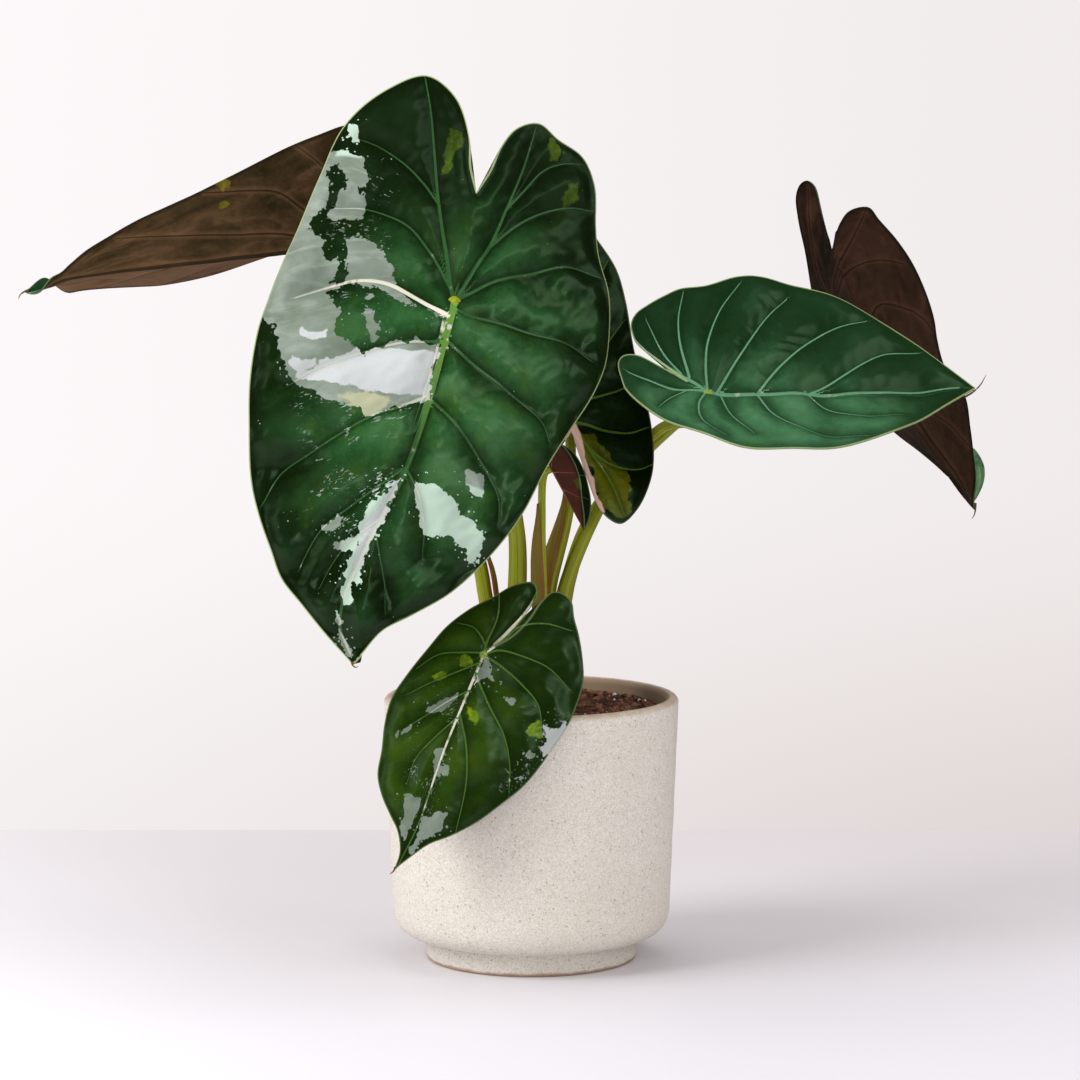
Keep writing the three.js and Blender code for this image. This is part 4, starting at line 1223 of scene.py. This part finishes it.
def stalk_mesh(leaf, seed):
    rows = 150
    line = stalk_curve(leaf, rows + 1)
    ahead = np.gradient(line, axis=0)
    bm = bmesh.new()
    round_layer = bm.verts.layers.float_vector.new("round")
    phase = random.Random(seed).uniform(0, 6)
    for vert, turn, row in rolled(bm, 40, rows):
        part = row / rows
        forward = Vector(ahead[row]).normalized()
        side = Vector((0, 1, 0)).cross(forward).normalized()
        back = forward.cross(side)
        radius = stalk_radius(leaf, part) * (1 + 0.015 * math.sin(5 * turn + phase))
        radius += 0.12 * math.sin(part * 23 + phase) * (1 - part)
        place = Vector(line[row]) + (side * math.cos(turn) + back * math.sin(turn)) * radius
        vert[round_layer] = (math.cos(turn), math.sin(turn), part)
        vert.co = place * mm
    return closed(bm)


for name, leaf in leaves.items():
    walk = np.linalg.norm(np.diff(stalk_curve(leaf, 60), axis=0), axis=1).sum()
    print(name, "stalk:", round(walk), "mm long")

# %% [markdown]
# A stalk is olive green, with fine lines along it and a browner, purplish foot. Where its lower part
# clasps the next stalk it has a dry brown edge.

# %% Stalk finish
def stalk_paint(name, brown):
    paint = new_paint("stalk_" + name)
    ring = paint.attribute("round", "Vector")
    side, part = paint.axis(ring, 0), paint.axis(ring, 2)
    lines = paint.noise(paint.scaled(ring, (6, 6, 1.2)), 1.0, 4, 0.6)
    fine = paint.noise(paint.scaled(ring, (22, 22, 5)), 1.0, 3, 0.6)
    low = 1 - (part + (lines - 0.5) * 0.1).step(0.1, 0.36)
    strip = (side + (fine - 0.5) * 0.12).step(0.72, 0.9) * (1 - part.step(0.3, 0.75))
    color = paint.coat(
        paint.mix(lines.step(0.3, 0.7), (108, 118, 4), (164, 172, 36)),
        (fine.step(0.45, 0.75) * 0.4, (182, 186, 74)),
        (low * 0.4, (150, 126, 52)),
        (strip * brown, (152, 92, 46)))
    paint.set("Specular IOR Level", 0.25)
    return paint.finish(color, 0.36 + 0.16 * lines, lines + 0.4 * fine, 0.2, 0.5)


for seed, (name, leaf) in enumerate(leaves.items()):
    brown = 0.9 if name in ("main", "leftBack", "youngest", "centerBack") else 0.35
    make_piece(f"petiole_{name}", stalk_mesh(leaf, seed), stalk_paint(name, brown),
               f"stalk_{name}")

# %% [markdown]
# Dry sheaths are papery leaves that clasp the young stalks and end in a point. Each is a thin strip
# that is curled around its stalk and flared in the middle.

# %% Sheaths
sheaths = {
    "leftBack": dict(start=0.16, end=0.42, facing=5, span=50, flare=2),
    "youngest": dict(start=0.36, end=0.86, facing=230, span=50, flare=2.6),
    "centerBack": dict(start=0.3, end=0.74, facing=222, span=50, flare=3),
}
sheath_thickness = 0.8


def sheath_mesh(leaf, piece):
    rows, columns, stops = 90, 24, 400
    line = stalk_curve(leaf, stops + 1)
    bm = bmesh.new()
    bmesh.ops.create_grid(bm, x_segments=columns, y_segments=rows, size=1)
    strip = bm.verts.layers.float_vector.new("strip")
    for vert in bm.verts:
        across, t = vert.co.x, (vert.co.y + 1) / 2
        part = piece["start"] + (piece["end"] - piece["start"]) * t
        radius = stalk_radius(leaf, part) + 2 * fit_gap + sheath_thickness
        radius += piece["flare"] * math.sin(math.pi * t) ** 2 + 0.15 * math.sin(9 * across + 14 * t)
        spread = math.sqrt(1 - 0.99 * t ** 2.5)
        turn = math.radians(piece["facing"] + piece["span"] * spread * across)
        center = Vector(line[round(part * stops)])
        vert[strip] = (across, t, 0)
        vert.co = (center + Vector((math.cos(turn), math.sin(turn), 0)) * radius) * mm
    bmesh.ops.recalc_face_normals(bm, faces=bm.faces)
    first = bm.faces[:][0]
    outward = first.calc_center_median() - Vector(line[round(piece["start"] * stops)]) * mm
    if first.normal.dot(Vector((outward.x, outward.y, 0))) < 0:
        bmesh.ops.reverse_faces(bm, faces=bm.faces)
    bm.normal_update()
    count = len(bm.verts)
    bmesh.ops.solidify(bm, geom=bm.faces[:], thickness=0.6 * sheath_thickness * mm)
    bm.verts.ensure_lookup_table()
    for lower, upper in zip(bm.verts[count:], bm.verts[:count]):
        lower[strip] = upper[strip]
    return bm


print("sheaths clasp the stalks of", list(sheaths))

# %% [markdown]
# A sheath is dead leaf tissue: dull, brown, and still a little green along its middle. Its place in
# the flat strip was kept as an attribute, so its lines run along it however it is curled.

# %% Sheath finish
def sheath_paint():
    paint = new_paint("sheath")
    strip = paint.attribute("strip", "Vector")
    across = paint.axis(strip, 0).unsigned()
    lines = paint.noise(paint.scaled(strip, (14, 1.1, 1)), 1.0, 4, 0.65)
    cloud = paint.noise(paint.scaled(strip, (2, 3, 1)), 1.0, 3)
    color = paint.coat(
        paint.mix(lines.step(0.3, 0.7), (104, 78, 28), (160, 120, 52)),
        ((1 - across.step(0.25, 0.85)) * 0.75, (112, 108, 36)),
        (cloud.step(0.35, 0.7) * 0.4, (140, 118, 50)),
        (across.step(0.78, 0.98) * 0.8, (138, 72, 34)))
    paint.set("Specular IOR Level", 0.2)
    return paint.finish(color, 0.45 + 0.2 * lines, lines, 0.25, 0.6)


papery = sheath_paint()
for name, piece in sheaths.items():
    make_piece(f"papery_{name}", sheath_mesh(leaves[name], piece), papery,
               f"sheath_{name}")

# %% [markdown]
# Potting mix is a heap of many things. The body is a low mound with a rough surface, rolled from a
# flat grid into a disc, and it goes down inside the pot in two steps. On it lie the loose crumbs.

# %% Soil
soil_edge_drop = 7
soil_mound = 8
soil_radius = rim_radius - wall - 1
soil_top = pot_height - soil_edge_drop


def soil_height(x, y):
    part = min(1, math.hypot(x, y) / soil_radius)
    mound = soil_top + soil_mound * (1 - float(smooth(part)))
    rough = swell(x, y, 5, 3, 9) * 0.55 + swell(x, y, 6, 9, 24) * 0.7 + swell(x, y, 7, 1.6, 3.4) * 0.3
    return mound + rough * (1 - 0.5 * part ** 6)


def soil_mesh():
    bm = bmesh.new()
    rings, sides = 70, 180
    bmesh.ops.create_grid(bm, x_segments=sides, y_segments=rings, size=1)
    for vert in bm.verts:
        turn = (vert.co.x + 1) * math.pi
        radius = (vert.co.y + 1) / 2 * soil_radius
        x, y = radius * math.cos(turn), radius * math.sin(turn)
        vert.co = Vector((x, y, soil_height(x, y))) * mm
    bmesh.ops.remove_doubles(bm, verts=bm.verts, dist=2e-5)
    for drop, inset in ((40, 3), (101, 14)):
        rim = [edge for edge in bm.edges if edge.is_boundary]
        for vert in new_verts(bmesh.ops.extrude_edge_only(bm, edges=rim)):
            flat = Vector((vert.co.x, vert.co.y, 0)).normalized() * (soil_radius - inset) * mm
            vert.co = (flat.x, flat.y, (soil_top - drop) * mm)
    return closed(bm)


def soil_paint():
    paint = new_paint("potting_mix")
    place = paint.place()
    coarse = paint.noise(place, 230, 6, 0.7)
    crumbs = paint.cells(place, 520)
    color = paint.coat(
        paint.mix(coarse.step(0.3, 0.7), (50, 26, 14), (120, 70, 44)),
        (crumbs.step(0.2, 0.75) * 0.6, (70, 42, 30)))
    return paint.finish(color, 0.8 + 0.15 * coarse, coarse + 0.6 * crumbs, 1.2, 0.9)


make_piece("potting_mix", soil_mesh(), soil_paint(), "soil")

# %% [markdown]
# Chips of bark, fibres and white grains of perlite are scattered over the mound. The draws are
# seeded, so every run scatters them the same way, and they keep clear of the stalks.

# %% Places for crumbs
stalk_clearance = 7
stalk_feet = [leaf["foot"] for leaf in leaves.values()]


def spot_on_soil(draw, inset):
    """A random place on the mound that keeps clear of the stalks."""
    while True:
        radius = math.sqrt(draw.random()) * (soil_radius - inset)
        turn = draw.uniform(0, 2 * math.pi)
        x, y = radius * math.cos(turn), radius * math.sin(turn)
        if all(math.hypot(x - fx, y - fy) > stalk_clearance for fx, fy in stalk_feet):
            return Vector((x, y, soil_height(x, y)))


def placed(bm, verts, draw, lift, lean, inset=3.5):
    """Drops new points on the mound, lifted by so many mm, turned anyhow and leaning a little."""
    place = spot_on_soil(draw, inset) + Vector((0, 0, lift))
    turn = Matrix.Rotation(draw.uniform(0, 2 * math.pi), 4, "Z")
    tilt = Matrix.Rotation(draw.gauss(0, lean), 4, "X") @ Matrix.Rotation(draw.gauss(0, lean), 4, "Y")
    bmesh.ops.transform(bm, matrix=Matrix.Translation(place * mm) @ turn @ tilt, verts=verts)


print("crumbs keep", stalk_clearance, "mm away from", len(stalk_feet), "stalks")

# %% [markdown]
# One chip is a small block with its corners moved, a fibre is a thin rolled grid, and a grain is a
# lumpy ball. Each kind is one object with few faces per crumb, because it is repeated many times.

# %% Bark, fibres and perlite
chip_count = 950
fibre_count = 170
grain_count = 34


def chips_mesh():
    draw = random.Random(11)
    bm = bmesh.new()
    tint = bm.verts.layers.float.new("tint")
    for _ in range(chip_count):
        long = draw.uniform(1.2, 6.5)
        size = (long, long * draw.uniform(0.25, 0.6), long * draw.uniform(0.12, 0.35))
        verts = bmesh.ops.create_cube(bm, size=mm)["verts"]
        shade = draw.random()
        for vert in verts:
            shift = Vector([draw.uniform(0.7, 1.3) for _ in range(3)])
            vert.co = Vector([vert.co[k] * size[k] * shift[k] for k in range(3)])
            vert[tint] = shade
        placed(bm, verts, draw, 0.3, 0.35)
    bmesh.ops.bevel(bm, geom=bm.edges[:], offset=0.12 * mm, affect="EDGES", segments=1, profile=0.5,
                    material=-1)
    bmesh.ops.recalc_face_normals(bm, faces=bm.faces)
    return bm


def fibres_mesh():
    draw = random.Random(12)
    bm = bmesh.new()
    for _ in range(fibre_count):
        long, thick = draw.uniform(5, 16), draw.uniform(0.1, 0.28)
        bend = draw.uniform(-0.09, 0.09)
        points = rolled(bm, 4, 9)
        for vert, turn, _ in points:
            s = vert.co.y * long / 2
            slim = thick * (1.05 - vert.co.y ** 4)
            vert.co = Vector((s, bend * s * s + slim * math.cos(turn), slim * math.sin(turn))) * mm
        placed(bm, [point[0] for point in points], draw, 0.9, 0.12, 9)
    return closed(bm, sides=4)


def perlite_mesh():
    draw = random.Random(13)
    bm = bmesh.new()
    for _ in range(grain_count):
        verts = bmesh.ops.create_icosphere(bm, subdivisions=2, radius=draw.uniform(0.5, 1.3) * mm)["verts"]
        for vert in verts:
            vert.co *= draw.uniform(0.82, 1.15)
        placed(bm, verts, draw, 0.6, 1)
    return bm


def crumb_paint(name, dark, light, roughness):
    paint = new_paint(name)
    grain = paint.noise(paint.place(), 700, 4, 0.65)
    tint = paint.attribute("tint")
    color = paint.mix((grain * 0.6 + tint * 0.5).step(0.25, 0.85), dark, light)
    return paint.finish(color, roughness, grain, 0.3, 0.6)


bark = crumb_paint("bark", (48, 26, 18), (140, 92, 66), 0.8)
fibre = crumb_paint("fibre", (92, 64, 44), (150, 112, 80), 0.8)
perlite = crumb_paint("perlite", (196, 190, 180), (236, 232, 224), 0.9)
make_piece("bark_chips", chips_mesh(), bark, smooth=False)
make_piece("fibres", fibres_mesh(), fibre)
make_piece("perlite", perlite_mesh(), perlite)

# %% [markdown]
# The stage is a pale table whose back edge shows behind the pot. It isn't part of the plant. Its
# tone has painted light and shade: it gets darker toward the back on the right, as a window on the
# left would make it.

# %% Table
table_half = (3, 1.6)
table_back = 331
table_drop = 0.02


def table():
    bm = bmesh.new()
    bmesh.ops.create_grid(bm, x_segments=1, y_segments=1, size=1)
    bmesh.ops.scale(bm, vec=(*table_half, 1), verts=bm.verts)
    center = (0, table_back * mm - table_half[1], -table_drop * mm)
    bmesh.ops.translate(bm, vec=center, verts=bm.verts)
    paint = new_paint("table")
    place = paint.place()
    # Painted light and shade: lighter on the left, darker toward the back on the right, as a window on the
    # left would light the table.
    lit_left_side = 1 - paint.axis(place, 0).step(-0.55, 0.1)
    depth = paint.axis(place, 1).step(-0.35, 0.34)
    front = paint.mix(lit_left_side, (219, 217, 223), (252, 250, 253))
    paint.set("Base Color", paint.mix(depth * (1 - 0.8 * lit_left_side), front, (218, 212, 214)))
    paint.set("Roughness", 0.6)
    new_object("table", bm, paint, False)
    print("the table's back edge is", table_back, "mm behind the pot's middle")


table()

# %% [markdown]
# The wall far behind is the world's own light. It is brighter where the camera looks at it than where
# it lights the leaves, so the dark greens stay deep. Five soft lamps do the rest. Some of them are
# hidden from mirror rays, because each visible lamp leaves a bright patch on the glossy blades.

# %% World and lights
def world_light():
    world = bpy.data.worlds.new("wall")
    scene.world = world
    world.use_nodes = True
    paint = Paint(world.node_tree)
    way = paint.node("ShaderNodeTexCoord", output="Generated")
    rightward = paint.axis(way, 0).step(-0.2, 0.2)
    low = 1 - paint.axis(way, 2).step(-0.21, -0.09)
    wall = paint.mix(rightward, (254, 250, 251), (240, 234, 234))
    wall = paint.mix(low * (0.2 + 0.5 * rightward), wall, (208, 197, 192))
    seen = paint.node("ShaderNodeLightPath", output="Is Camera Ray")
    mirrored = paint.node("ShaderNodeLightPath", output="Is Glossy Ray")
    unseen = (0.74 - 0.64 * mirrored) * (1 - 0.32 * rightward)
    back = paint.tree.nodes["Background"]
    paint.feed(back.inputs["Color"], wall)
    paint.feed(back.inputs["Strength"], seen + (1 - seen) * unseen)


def softbox(name, place, aim, size, power, mirrored):
    data = bpy.data.lights.new(name, "AREA")
    data.shape = "RECTANGLE"
    data.size, data.size_y = size
    data.energy = power
    light = bpy.data.objects.new(name, data)
    light.location = place
    light.rotation_euler = (Vector(aim) - Vector(place)).to_track_quat("-Z", "Y").to_euler()
    light.visible_glossy = mirrored
    scene.collection.objects.link(light)
    print(name, "lamp:", power, "watts, mirrored" if mirrored else "watts")


world_light()
softbox("key", (-1.9, -1.0, 1.7), (0, 0, 0.15), (1.3, 1.3), 46, False)
softbox("sheen", (1.2, -0.95, 1.4), (0, 0, 0.28), (1.3, 0.85), 9.5, True)
softbox("front", (0.75, -1.6, 0.85), (0, 0, 0.25), (0.4, 0.4), 5, True)
softbox("top", (0.2, 0.25, 1.9), (0.1, 0, 0.25), (1.2, 0.9), 9, False)
softbox("side glint", (-1.5, -0.9, 0.9), (0, 0, 0.2), (0.5, 0.9), 3, True)

# %% [markdown]
